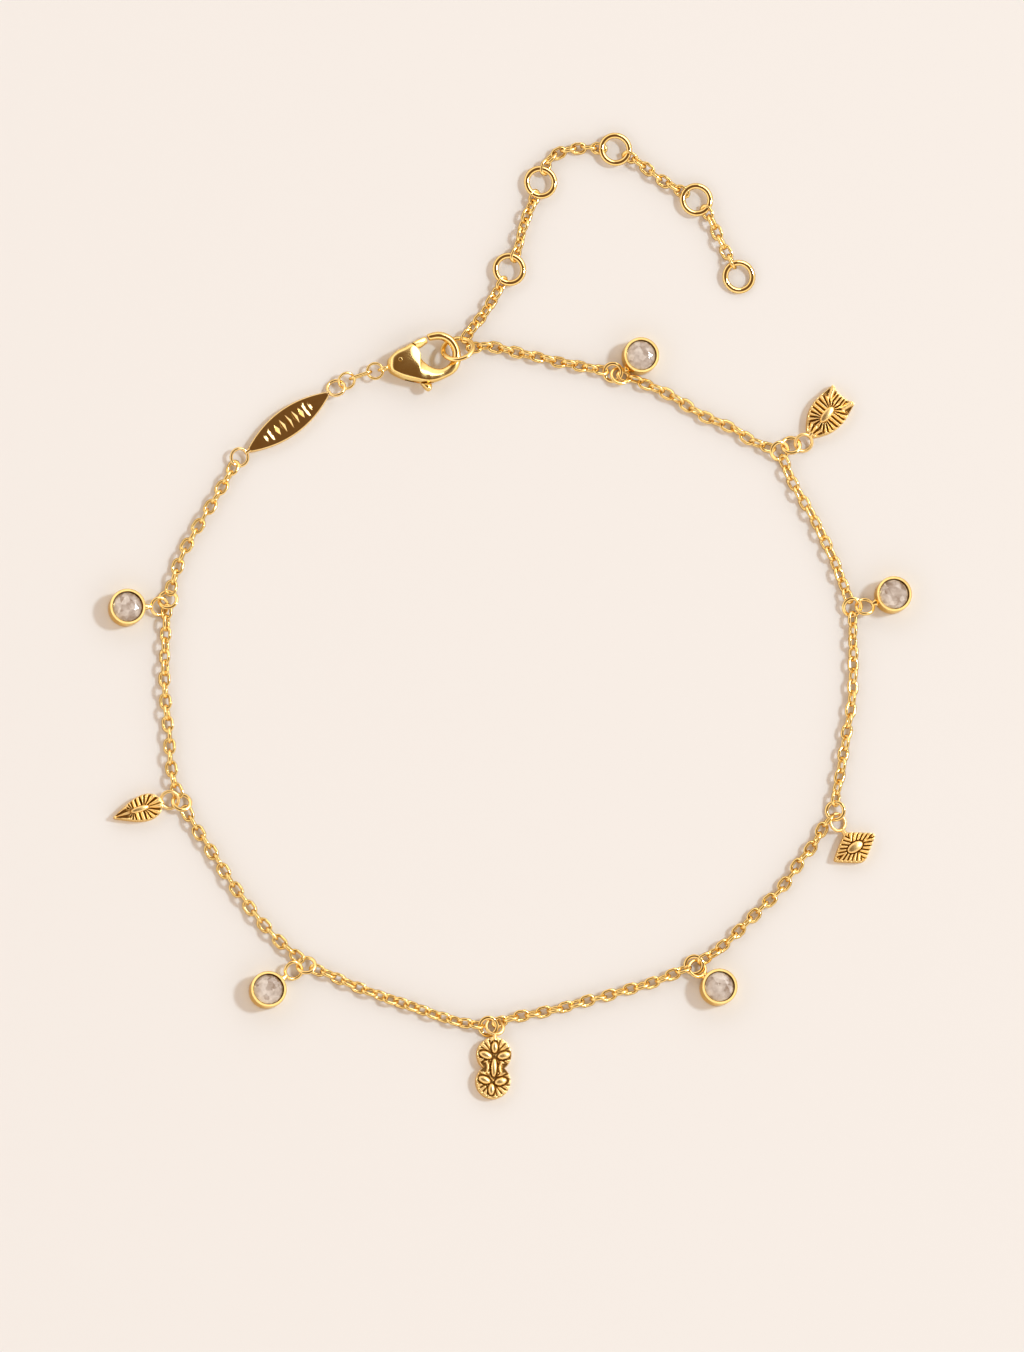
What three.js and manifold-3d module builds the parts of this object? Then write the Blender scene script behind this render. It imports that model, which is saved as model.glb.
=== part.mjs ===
// A charm anklet lying closed on a flat surface: a fine cable chain with a name plate, five crystals
// in round bezels, four cast charms, a lobster clasp and a ringed extender.
// Millimetres, +Z up, everything rests on z = 0.
import * as THREE from "three";
import { mergeVertices } from "three/addons/utils/BufferGeometryUtils.js";
import Module from "manifold-3d";

const wasm = await Module();
wasm.setup();

// Driving dimensions.
const CHAIN_WIDTH = 1.5;
const CHAIN_SIDES = 8;
const CHAIN_STEP = 4; // length of tube between two sections

const WIRE = 0.19; // radius of the wire of small rings and soldered loops
const RING = 1.0; // radius of a small ring, measured to the middle of its wire
const LOOP = 0.95; // the same for a soldered loop
const WIRE_GAP = 0.1; // air between two linked wires
const FLOOR_GAP = 0.02;

const EXTENDER_RING = 1.6;
const EXTENDER_WIRE = 0.275;
const EXTENDER_LIFT = 0.4;
const EXTENDER_LAST_LEAN = 7; // degrees

const CATCH_RING = 1.72; // the ring that the clasp hooks into
const CATCH_WIRE = 0.25;
const CATCH_TURN = { heading: 24, roll: -40 }; // degrees, leaning over the hook of the clasp

const BEZEL = { radius: 1.98, height: 2.1, bore: 1.66, floor: 0.4 };
const STONE = { radius: 1.56, table: 0.85, culet: 0.3, base: 0.55, girdle: 1.3, belt: 0.16, top: 2.12 };
const CAST_THICKNESS = 1.3;
const CAST_EDGE = 0.15; // rounding of a cast edge
const PLATE = { halfLength: 5.35, halfWidth: 1.56, thickness: 0.9, blunt: 0.3, edge: 0.12 };
const NECK = 0.3; // radius of the solder between a piece and its loop

const CLASP = {
  at: [-14.0, 26.6],
  heading: 13.3,
  thickness: 2.2,
  bevel: 0.2,
  hookWidth: 0.86,
  hookDepth: 0.95,
  hookHeight: 1.22,
  loopAt: -0.33,
  loop: 0.6,
  loopWire: 0.18,
  pivot: [1.5, 0.55],
  pinRadius: 0.28,
  pinHole: 0.34,
  housingReach: 1.65, // how far the housing reaches round the pivot, where the gate turns past it
  gateStart: 1.75,
  slot: 0.92,
  tongue: 0.72,
  gateThickness: 1.8,
};

const GOLD = new THREE.MeshStandardMaterial({ color: 0xe8b84a, roughness: 0.18, metalness: 1 });
const CHAIN_GOLD = new THREE.MeshStandardMaterial({ color: 0xe3b045, roughness: 0.22, metalness: 1 });
const CAST_GOLD = new THREE.MeshStandardMaterial({ color: 0xd9a540, roughness: 0.25, metalness: 1 });
const CRYSTAL = new THREE.MeshStandardMaterial({ color: 0xcbbfb8, roughness: 0.05, metalness: 0 });

// In-line rings: each joins two lengths of chain and carries one charm.
const RINGS = {
  crystal_left: [-38.2, 0.2],
  leaf: [-36.6, -22.2],
  crystal_low_left: [-22.8, -39.9],
  flower: [-2.6, -46.2],
  crystal_low_right: [20.3, -38.9],
  rhombus: [36.1, -21.4],
  crystal_right: [38.1, 1.4],
  pear: [30.0, 18.7],
  crystal_top: [11.3, 27.0],
};

// Each charm: where it lies, which way its loop points in degrees, and how far out the loop is.
const CHARMS = {
  crystal_left: { at: [-42.8, -0.9], heading: 5, loop: 3.7 },
  leaf: { at: [-41.4, -23.2], heading: 19, loop: 3.7 },
  crystal_low_left: { at: [-27.1, -42.8], heading: 38, loop: 3.7 },
  flower: { at: [-2.05, -50.8], heading: 88, loop: 4.6 },
  crystal_low_right: { at: [22.9, -41.4], heading: 137, loop: 3.1 },
  rhombus: { at: [38.25, -25.45], heading: 124, loop: 3.35 },
  crystal_right: { at: [42.6, 2.8], heading: 203, loop: 3.35 },
  pear: { at: [35.25, 22.85], heading: 231, loop: 4.05 },
  crystal_top: { at: [14.3, 28.8], heading: 224, loop: 3.1 },
};
const PEAR_LINK = [31.3, 19.38]; // the pear charm hangs on one ring more than the others
const PEAR_LINK_TURN = { heading: 20, roll: -22 };

const PLATE_AT = [-24.9, 20.35];
const PLATE_HEADING = 37;
const PLATE_LOOPS = { lower: -6.8, upper: 6.6 }; // along the plate from its middle
const PLATE_LOOP_LEAN = 26; // degrees

// Rings between the plate and the clasp, from the plate outwards.
const CLASP_LINKS = [
  { name: "clasp_link_1", at: [-18.45, 25.15, 0.68], half: [0.9, 0.9], roll: 27, pitch: 0 },
  { name: "clasp_link_2", at: [-16.92, 25.79, 0.78], half: [1.24, 0.6], roll: 90, pitch: 0 },
  { name: "clasp_link_3", at: [-15.33, 26.28, 0.98], half: [0.85, 0.85], roll: 0, pitch: -10 },
];
const CLASP_LINK_HEADING = 20; // degrees, the line of the three rings
const LINK_WIRE = 0.15;

const CATCH_AT = [-6.17, 28.97, 1.38];
const EXTENDER_RINGS = [
  [-0.3, 38.2],
  [3.2, 48.1],
  [11.6, 52.1],
  [20.7, 46.7],
  [25.5, 38.2],
];

// Lengths of chain: the ring or point at each end, how far short of its centre the chain stops, and the
// points that the chain passes on the way.
const CHAINS = [
  { ends: ["plate", "crystal_left"], stop: [1.4, 1.4], via: [[-31.9, 13.5], [-34.3, 9.4], [-36.7, 5.0]] },
  { ends: ["crystal_left", "leaf"], stop: [1.9, 1.7],
    via: [[-38.4, -2.6], [-38.5, -6.7], [-38.4, -11], [-38, -14.8], [-37.6, -19.5]] },
  { ends: ["leaf", "crystal_low_left"], stop: [1.4, 1.9],
    via: [[-35.6, -24], [-32.8, -28.3], [-30.4, -31.8], [-28.7, -34.1], [-26.8, -36.3], [-25, -37.9]] },
  { ends: ["crystal_low_left", "flower"], stop: [1.4, 1.4],
    via: [[-20.1, -40.9], [-17.3, -42.1], [-11.7, -44], [-7.6, -45.3], [-5.2, -45.9]] },
  { ends: ["flower", "crystal_low_right"], stop: [2.2, 1.4],
    via: [[0.1, -45.2], [4.3, -44.3], [8.2, -43.2], [12.3, -42], [16, -40.8], [18.5, -39.7]] },
  { ends: ["crystal_low_right", "rhombus"], stop: [1.6, 2.05],
    via: [[23.4, -36.8], [27, -33.2], [30.1, -30.1], [32.2, -27.1], [33.8, -25], [35, -22.9]] },
  { ends: ["rhombus", "crystal_right"], stop: [1.4, 1.4],
    via: [[36.2, -19.6], [36.8, -16.7], [37.4, -12.8], [38, -9], [38.2, -4.5]] },
  { ends: ["crystal_right", "pear"], stop: [1.4, 1.4],
    via: [[36.9, 4.5], [35.4, 8.1], [33.6, 11.6], [31.6, 15]] },
  { ends: ["pear", "crystal_top"], stop: [1.4, 3.0],
    via: [[27.2, 19.6], [25.1, 20.9], [21.3, 22.5], [18.1, 24.4], [14.7, 25.9]] },
  { ends: ["crystal_top", "catch"], stop: [1.4, 2.3], via: [[8.7, 27.4], [5.2, 28], [1.1, 28.8], [-2.6, 29.5]] },
];
const EXTENDER_CHAINS = [
  { ends: ["catch", 0], stop: [2.5, 2.2], via: [[-4.1, 31.9], [-2.7, 33.8]] },
  { ends: [0, 1], stop: [2.2, 2.2], via: [[0.6, 40.5], [1.3, 43.1]] },
  { ends: [1, 2], stop: [2.5, 2.2], via: [[4.3, 50.8], [6.7, 52]] },
  { ends: [2, 3], stop: [2.2, 2.2], via: [[13.9, 50.9], [16.9, 48.8]] },
  { ends: [3, 4], stop: [2.2, 2.2], via: [[22.1, 45], [23.7, 41.7]] },
];

const anklet = new THREE.Group();
const rad = THREE.MathUtils.degToRad;

// Adds a named piece. roll turns it about its own X, pitch about its Y, heading about Z, in that order.
function addPiece(name, geometry, material, { at = [0, 0, 0], heading = 0, roll = 0, pitch = 0 } = {}) {
  const mesh = new THREE.Mesh(geometry, material);
  mesh.name = name;
  mesh.position.set(at[0], at[1], at[2] ?? 0);
  mesh.rotation.set(rad(roll), rad(pitch), rad(heading), "ZYX");
  anklet.add(mesh);
}

// Joins and cuts.
function solidOf(geometry) {
  const bare = geometry.clone();
  bare.deleteAttribute("normal");
  bare.deleteAttribute("uv");
  const merged = mergeVertices(bare, 1e-4);
  const vertProperties = new Float32Array(merged.attributes.position.array);
  const triVerts = new Uint32Array(merged.index.array);
  return new wasm.Manifold(new wasm.Mesh({ numProp: 3, vertProperties, triVerts }));
}

function geometryOf(solid) {
  const mesh = solid.getMesh();
  const geometry = new THREE.BufferGeometry();
  geometry.setAttribute("position", new THREE.BufferAttribute(new Float32Array(mesh.vertProperties), 3));
  geometry.setIndex(new THREE.BufferAttribute(new Uint32Array(mesh.triVerts), 1));
  geometry.computeVertexNormals();
  return geometry;
}

function join(geometries) {
  return geometryOf(geometries.map(solidOf).reduce((whole, part) => whole.add(part)));
}

function cut(geometry, tools) {
  return geometryOf(tools.map(solidOf).reduce((whole, tool) => whole.subtract(tool), solidOf(geometry)));
}

// Basic shapes.

// A closed ring of round wire in the XY plane; half holds its half length and half width.
function wireRing(half, wire, around = 16, sides = 6) {
  const geometry = new THREE.TorusGeometry(2, 1, sides, around);
  const position = geometry.attributes.position;
  for (let i = 0; i < position.count; i += 1) {
    const x = position.getX(i);
    const y = position.getY(i);
    const angle = Math.atan2(y, x);
    const out = (Math.hypot(x, y) - 2) * wire;
    const normal = new THREE.Vector2(Math.cos(angle) * half[1], Math.sin(angle) * half[0]).normalize();
    position.setXYZ(
      i,
      Math.cos(angle) * half[0] + normal.x * out,
      Math.sin(angle) * half[1] + normal.y * out,
      position.getZ(i) * wire,
    );
  }
  return geometry;
}

function polygon(corners) {
  return new THREE.Shape(corners.map(([x, y]) => new THREE.Vector2(x, y)));
}

function circle(radius, sides, [x, y] = [0, 0]) {
  const angles = Array.from({ length: sides }, (_, i) => (i / sides) * 2 * Math.PI);
  return polygon(angles.map((angle) => [x + radius * Math.cos(angle), y + radius * Math.sin(angle)]));
}

// A flat piece from z = low up to z = high, its outer edges rounded by bevel without growing past the outline.
function slab(shape, low, high, bevel = 0, curveSegments = 10) {
  const geometry = new THREE.ExtrudeGeometry(shape, {
    depth: high - low - 2 * bevel,
    bevelEnabled: bevel > 0,
    bevelThickness: bevel,
    bevelSize: bevel,
    bevelOffset: -bevel,
    bevelSegments: 2,
    curveSegments,
  });
  return geometry.translate(0, 0, low + bevel);
}

// A straight round rod between two points.
function rod(from, to, radius, sides = 8) {
  const start = new THREE.Vector3(...from);
  const along = new THREE.Vector3(...to).sub(start);
  const turn = new THREE.Quaternion().setFromUnitVectors(
    new THREE.Vector3(0, 1, 0),
    along.clone().normalize(),
  );
  return new THREE.CylinderGeometry(radius, radius, along.length(), sides)
    .translate(0, along.length() / 2, 0)
    .applyQuaternion(turn)
    .translate(...from);
}

// An outline that is the same on both sides of the X axis, from rows of position and half width.
function mirroredOutline(rows) {
  const shape = new THREE.Shape();
  const near = rows.map(({ x, half }) => new THREE.Vector2(x, -half));
  const far = rows.map(({ x, half }) => new THREE.Vector2(x, half)).reverse();
  shape.moveTo(near[0].x, near[0].y);
  shape.splineThru(near.slice(1));
  shape.lineTo(far[0].x, far[0].y);
  shape.splineThru(far.slice(1));
  return shape;
}

// How far linked rings lean to pass each other, when their centres are apart by the given distance.
function leanOf(apart) {
  const halfHeight = Math.sqrt(LOOP * LOOP - (apart / 2) ** 2);
  return THREE.MathUtils.radToDeg(Math.asin((2 * WIRE + WIRE_GAP) / (2 * halfHeight))) + 2;
}

function restHeight(radius, lean) {
  return radius * Math.sin(rad(lean)) + WIRE + FLOOR_GAP;
}

function headingOf(from, to) {
  return THREE.MathUtils.radToDeg(Math.atan2(to[1] - from[1], to[0] - from[0]));
}

// Chain.

// A length of chain as one tube that follows its route on the surface.
function chainTube(start, end, stop, via) {
  const height = CHAIN_WIDTH / 2;
  const points = [start, ...via, end].map(([x, y]) => new THREE.Vector3(x, y, height));
  const whole = new THREE.CatmullRomCurve3(points, false, "centripetal");
  const length = whole.getLength();
  const first = stop[0] / length;
  const last = 1 - stop[1] / length;
  const steps = Math.max(2, Math.round((length * (last - first)) / CHAIN_STEP));
  const kept = [];
  for (let i = 0; i <= steps; i += 1) kept.push(whole.getPointAt(first + ((last - first) * i) / steps));
  return new THREE.ExtrudeGeometry(circle(height, CHAIN_SIDES), {
    steps,
    extrudePath: new THREE.CatmullRomCurve3(kept, false, "centripetal"),
    bevelEnabled: false,
  });
}

// Charms: each is built with its loop on +X and turned to its heading.

function loopPosition({ at, heading, loop }) {
  return [at[0] + loop * Math.cos(rad(heading)), at[1] + loop * Math.sin(rad(heading))];
}

// The soldered loop of a charm with its neck. partner is what the loop hooks, edge the charm's rim on +X.
function charmLoop(charm, partner, edge) {
  const centre = loopPosition(charm);
  const apart = leanOf(Math.hypot(centre[0] - partner[0], centre[1] - partner[1]));
  const lean = partner === PEAR_LINK ? -apart : apart;
  const height = restHeight(LOOP, apart);
  const towards = headingOf(partner, centre) - charm.heading;
  const ring = wireRing([LOOP, LOOP], WIRE)
    .rotateX(rad(-lean))
    .rotateZ(rad(towards))
    .translate(charm.loop, 0, height);
  const neckHeight = Math.max(NECK, height - LOOP * Math.sin(rad(lean)) * Math.sin(rad(towards)));
  const neck = rod([edge - 0.25, 0, neckHeight], [charm.loop - LOOP, 0, neckHeight], NECK);
  return [ring, neck];
}

function bezelCup() {
  const { radius, height, bore, floor } = BEZEL;
  const rim = 0.08;
  const profile = [
    [0, 0],
    [radius - rim, 0],
    [radius, rim],
    [radius, height - rim],
    [radius - rim, height],
    [bore + rim, height],
    [bore, height - rim],
    [bore, floor],
    [0, floor],
  ].map(([r, z]) => new THREE.Vector2(r, z));
  return new THREE.LatheGeometry(profile, 24).rotateX(Math.PI / 2);
}

function stone() {
  const { radius, table, culet, base, girdle, belt, top } = STONE;
  const profile = [
    [0, base],
    [culet, base],
    [radius, girdle],
    [radius, girdle + belt],
    [table, top],
    [0, top],
  ].map(([r, z]) => new THREE.Vector2(r, z));
  return new THREE.LatheGeometry(profile, 12).rotateX(Math.PI / 2);
}

function leafOutline() {
  return mirroredOutline([
    { x: -2.8, half: 0.1 },
    { x: -1.6, half: 0.68 },
    { x: -0.3, half: 1.22 },
    { x: 1.0, half: 1.45 },
    { x: 2.1, half: 1.15 },
    { x: 2.75, half: 0.45 },
  ]);
}

function rhombusOutline() {
  return polygon([[2.0, 0], [0, 2.9], [-2.0, 0], [0, -2.9]]);
}

// Two round flowers, one above the other, that run together at the waist.
function flowerOutline() {
  const radius = 1.9;
  const centre = 1.5;
  const waist = Math.acos(centre / radius);
  const shape = new THREE.Shape();
  shape.absarc(centre, 0, radius, -Math.PI + waist, Math.PI - waist, false);
  shape.absarc(-centre, 0, radius, waist, 2 * Math.PI - waist, false);
  return shape;
}

// A pear with two pointed ears at its wide end.
function pearOutline() {
  const side = [
    [3.0, 0.4],
    [2.2, 1.05],
    [0.9, 1.75],
    [-0.6, 2.0],
    [-2.0, 1.8],
    [-3.1, 1.62],
  ];
  const shape = new THREE.Shape();
  shape.moveTo(3.0, -0.4);
  shape.lineTo(3.0, 0.4);
  shape.splineThru(side.slice(1).map(([x, y]) => new THREE.Vector2(x, y)));
  shape.lineTo(-2.65, 0.75);
  shape.lineTo(-2.65, -0.75);
  shape.lineTo(-3.1, -1.62);
  shape.splineThru(side.slice(0, -1).reverse().map(([x, y]) => new THREE.Vector2(x, -y)));
  return shape;
}

// Plate: two arcs that meet at blunt tips, with a loop past each tip.
function plateOutline() {
  const { halfLength, halfWidth, blunt } = PLATE;
  const rows = [];
  for (let i = -6; i <= 6; i += 1) {
    const share = i / 6;
    rows.push({ x: share * halfLength, half: blunt + (halfWidth - blunt) * (1 - share * share) });
  }
  return mirroredOutline(rows);
}

function plate() {
  const { halfLength, thickness, edge } = PLATE;
  const height = restHeight(LOOP, PLATE_LOOP_LEAN);
  const pieces = [slab(plateOutline(), 0, thickness, edge, 2)];
  for (const [end, x] of Object.entries(PLATE_LOOPS)) {
    const side = Math.sign(x);
    const roll = end === "upper" ? -PLATE_LOOP_LEAN : PLATE_LOOP_LEAN / 2;
    pieces.push(
      wireRing([LOOP, LOOP], WIRE).rotateX(rad(roll)).translate(x, 0, height),
      rod([side * (halfLength - 0.4), 0, height], [x - side * LOOP, 0, height], NECK),
    );
  }
  return join(pieces);
}

// Clasp, built with its base loop at the origin and its nose on +X; the gate is on +Y.

// Points on an arc round the pivot, between two angles in degrees.
function arcPoints(radius, from, to, count) {
  const [px, py] = CLASP.pivot;
  return Array.from({ length: count + 1 }, (_, i) => {
    const angle = rad(from + ((to - from) * i) / count);
    return [px + radius * Math.cos(angle), py + radius * Math.sin(angle)];
  });
}

// The housing for the lever and the straight part of the back, up to where the hook begins.
function housingOutline() {
  return polygon([
    [0.15, -0.35], [0.5, -0.9], [1.2, -1.42], [2.2, -1.98], [3.4, -2.42], [4.5, -2.55], [5.6, -2.5],
    [6.5, -2.25], [6.1, -1.35], [5.3, -1.35], [4.6, -1.05], [4.02, -0.58], [3.72, 0.0],
    ...arcPoints(CLASP.housingReach, -16, 56, 6),
    [1.9, 1.95], [1.04, 1.6], [0.4, 1.08], [0.12, 0.5],
  ]);
}

function hook() {
  const { hookWidth, hookDepth, hookHeight } = CLASP;
  const section = new THREE.Shape();
  section.absellipse(0, 0, hookDepth / 2, hookWidth / 2, 0, 2 * Math.PI, false);
  const route = [
    [5.5, -1.95],
    [6.4, -1.8],
    [7.15, -1.35],
    [7.68, -0.7],
    [7.97, 0.25],
    [7.8, 1.25],
    [7.2, 2.02],
    [6.35, 2.4],
    [5.22, 2.42],
  ].map(([x, y]) => new THREE.Vector3(x, y, hookHeight));
  return new THREE.ExtrudeGeometry(section, {
    steps: 14,
    curveSegments: 5,
    extrudePath: new THREE.CatmullRomCurve3(route, false, "centripetal"),
    bevelEnabled: false,
  });
}

// The space that the lever's thin middle turns in: sectors round the pivot, in the middle of the thickness.
function sector(from, to, reach) {
  return polygon([CLASP.pivot, ...arcPoints(reach, from, to, 6)]);
}

function claspBody() {
  const { thickness, bevel, slot, pivot, pinHole, loopAt, loop, loopWire } = CLASP;
  const middle = thickness / 2;
  const base = wireRing([loop, loop], loopWire, 14).rotateX(Math.PI / 2).translate(loopAt, 0, middle);
  const body = join([slab(housingOutline(), 0, thickness, bevel, 3), hook(), base]);
  return cut(body, [
    slab(circle(1.0, 16, pivot), middle - slot / 2, middle + slot / 2),
    slab(sector(-112, -34, 6), middle - slot / 2, middle + slot / 2),
    slab(sector(-45, 80, 2.45), middle - slot / 2, middle + slot / 2),
    slab(circle(pinHole, 16, pivot), -1, thickness + 1),
  ]);
}

function claspLever() {
  const { thickness, tongue, gateThickness, gateStart, pivot, pinHole } = CLASP;
  const middle = thickness / 2;
  const flat = (shape, thick) => slab(shape, middle - thick / 2, middle + thick / 2);
  const gate = polygon([
    [4.98, 1.82], [4.82, 2.52], [3.87, 2.38], [3.0, 2.12],
    ...arcPoints(gateStart, 58, 14, 4),
    [3.75, 1.0], [4.25, 1.5],
  ]);
  const arm = polygon([[1.15, 0.15], [3.35, -2.65], [4.2, -2.8], [3.8, -2.0], [1.95, 0.25]]);
  const tab = polygon([[3.3, -2.54], [3.62, -3.1], [3.86, -3.42], [4.16, -3.4], [4.4, -3.0], [4.48, -2.7]]);
  const body = join([
    flat(circle(0.62, 16, pivot), tongue),
    flat(sector(-8, 56, 2.25), tongue),
    flat(gate, gateThickness),
    flat(arm, tongue),
    flat(tab, 1.3),
  ]);
  return cut(body, [slab(circle(pinHole, 16, pivot), -1, thickness + 1)]);
}

function claspPin() {
  return slab(circle(CLASP.pinRadius, 12, CLASP.pivot), 0.05, CLASP.thickness - 0.05);
}

// Assembly.

const platePoint = (along) => [
  PLATE_AT[0] + along * Math.cos(rad(PLATE_HEADING)),
  PLATE_AT[1] + along * Math.sin(rad(PLATE_HEADING)),
];
const anchors = { ...RINGS, plate: platePoint(PLATE_LOOPS.lower), catch: CATCH_AT };

function addChains(names, rows, ends) {
  rows.forEach(({ ends: [from, to], stop, via }, i) => {
    addPiece(`${names}_${i + 1}`, chainTube(ends[from], ends[to], stop, via), CHAIN_GOLD);
  });
}

addChains("chain", CHAINS, anchors);
addChains("extender_chain", EXTENDER_CHAINS, { ...EXTENDER_RINGS, catch: CATCH_AT });

// The rings of the extender lie raised on the links through them; the last one leans, held at one side.
EXTENDER_RINGS.forEach((at, i) => {
  const ring = wireRing([EXTENDER_RING, EXTENDER_RING], EXTENDER_WIRE, 20);
  const last = i === EXTENDER_RINGS.length - 1;
  const height = EXTENDER_LIFT / (last ? 2 : 1) + EXTENDER_WIRE;
  const heading = last ? headingOf(EXTENDER_RINGS[i - 1], at) : 0;
  const pitch = last ? EXTENDER_LAST_LEAN : 0;
  addPiece(`extender_ring_${i + 1}`, ring, GOLD, { at: [...at, height], heading, pitch });
});

addPiece("catch_ring", wireRing([CATCH_RING, CATCH_RING], CATCH_WIRE, 20), GOLD, {
  at: CATCH_AT,
  ...CATCH_TURN,
});

const EDGES = { leaf: 2.75, rhombus: 1.9, flower: 3.35, pear: 3.0 };
const OUTLINES = { leaf: leafOutline, rhombus: rhombusOutline, flower: flowerOutline, pear: pearOutline };
for (const [name, charm] of Object.entries(CHARMS)) {
  const hooked = name === "pear" ? PEAR_LINK : RINGS[name];
  const centre = loopPosition(charm);
  const place = { at: [...charm.at, 0], heading: charm.heading };
  if (name in OUTLINES) {
    const cast = slab(OUTLINES[name](), 0, CAST_THICKNESS, CAST_EDGE, 3);
    addPiece(`${name}_charm`, join([cast, ...charmLoop(charm, hooked, EDGES[name])]), CAST_GOLD, place);
  } else {
    addPiece(`${name}_bezel`, join([bezelCup(), ...charmLoop(charm, hooked, BEZEL.radius)]), GOLD, place);
    addPiece(`${name}_stone`, stone(), CRYSTAL, place);
  }
  const target = name === "pear" ? PEAR_LINK : centre;
  const lean = leanOf(Math.hypot(target[0] - RINGS[name][0], target[1] - RINGS[name][1]));
  addPiece(`${name}_ring`, wireRing([RING, RING], WIRE), GOLD, {
    at: [...RINGS[name], restHeight(RING, lean)],
    heading: headingOf(RINGS[name], target),
    roll: lean,
  });
}

addPiece("pear_link", wireRing([RING, RING], WIRE), GOLD, {
  at: [...PEAR_LINK, restHeight(RING, -PEAR_LINK_TURN.roll)],
  ...PEAR_LINK_TURN,
});

addPiece("plate", plate(), GOLD, { at: [...PLATE_AT, 0], heading: PLATE_HEADING });
for (const { name, at, half, roll, pitch } of CLASP_LINKS) {
  addPiece(name, wireRing(half, LINK_WIRE), GOLD, { at, heading: CLASP_LINK_HEADING, roll, pitch });
}

const claspPlace = { at: [...CLASP.at, 0], heading: CLASP.heading };
addPiece("clasp_body", claspBody(), GOLD, claspPlace);
addPiece("clasp_lever", claspLever(), GOLD, claspPlace);
addPiece("clasp_pin", claspPin(), GOLD, claspPlace);

// The origin is under the middle of the whole anklet.
const box = new THREE.Box3().setFromObject(anklet, true);
const middle = box.getCenter(new THREE.Vector3());
anklet.position.set(-middle.x, -middle.y, -box.min.z);

export default anklet;
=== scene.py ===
"""A charm anklet in its finish: linked chain, polished rings and clasp, faceted crystals and cast charms.

Everything is in metres in the frame's own axes. The anklet lies closed on z = 0.
"""

import math
import random

import bmesh
import bpy
import numpy
from mathutils import Matrix, Vector


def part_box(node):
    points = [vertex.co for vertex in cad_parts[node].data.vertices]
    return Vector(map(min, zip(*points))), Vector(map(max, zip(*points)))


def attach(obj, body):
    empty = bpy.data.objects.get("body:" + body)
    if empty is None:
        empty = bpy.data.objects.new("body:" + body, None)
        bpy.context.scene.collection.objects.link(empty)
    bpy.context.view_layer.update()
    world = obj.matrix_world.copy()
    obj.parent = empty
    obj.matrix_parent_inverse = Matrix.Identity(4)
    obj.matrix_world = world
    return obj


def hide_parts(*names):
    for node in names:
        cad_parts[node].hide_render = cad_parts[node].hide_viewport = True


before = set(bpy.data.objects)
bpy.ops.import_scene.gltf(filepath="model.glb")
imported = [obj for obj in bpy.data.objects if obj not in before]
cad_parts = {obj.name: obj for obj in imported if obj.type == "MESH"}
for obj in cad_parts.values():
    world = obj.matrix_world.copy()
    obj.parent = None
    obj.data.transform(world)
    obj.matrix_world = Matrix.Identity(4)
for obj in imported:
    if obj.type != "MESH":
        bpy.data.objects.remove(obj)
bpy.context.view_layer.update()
random.seed(7)

MM = 0.001
Z_AXIS = Vector((0, 0, 1))
STAY = Matrix.Identity(4)  # for what is made in its place

# The layout below is in millimetres. The frame says where its origin went.
LAST_RING = (25.5, 38.2)
low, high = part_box("extender_ring_5")
SHIFT = (low + high) / 2 / MM - Vector((*LAST_RING, 0))
SHIFT.z = 0

# Rings of the loop: where each lies and the charm that it carries.
RINGS = {
    "crystal_left": (-38.2, 0.2),
    "leaf": (-36.6, -22.2),
    "crystal_low_left": (-22.8, -39.9),
    "flower": (-2.6, -46.2),
    "crystal_low_right": (20.3, -38.9),
    "rhombus": (36.1, -21.4),
    "crystal_right": (38.1, 1.4),
    "pear": (30.0, 18.7),
    "crystal_top": (11.3, 27.0),
}

# Charms: middle, direction of the loop in degrees, and distance of the loop from the middle.
CHARMS = {
    "crystal_left": ((-42.8, -0.9), 5, 3.7),
    "leaf": ((-41.4, -23.2), 19, 3.7),
    "crystal_low_left": ((-27.1, -42.8), 38, 3.7),
    "flower": ((-2.05, -50.8), 88, 4.6),
    "crystal_low_right": ((22.9, -41.4), 137, 3.1),
    "rhombus": ((38.25, -25.45), 124, 3.35),
    "crystal_right": ((42.6, 2.8), 203, 3.35),
    "pear": ((35.25, 22.85), 231, 4.05),
    "crystal_top": ((14.3, 28.8), 224, 3.1),
}
PEAR_LINK = (31.3, 19.38)  # the extra ring of the pear charm

# The middle of the plate, the base of the clasp, and the direction of each in degrees.
PLATE_AT = (-24.9, 20.35)
PLATE_HEADING = 37
CLASP_AT = (-14.0, 26.6)
CLASP_HEADING = 13.3

# The catch ring that the clasp is hooked into, and the rings of the extender that hangs from it.
CATCH_AT = (-6.17, 28.97)
EXTENDER_RINGS = [(-0.3, 38.2), (3.2, 48.1), (11.6, 52.1), (20.7, 46.7), LAST_RING]

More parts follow.
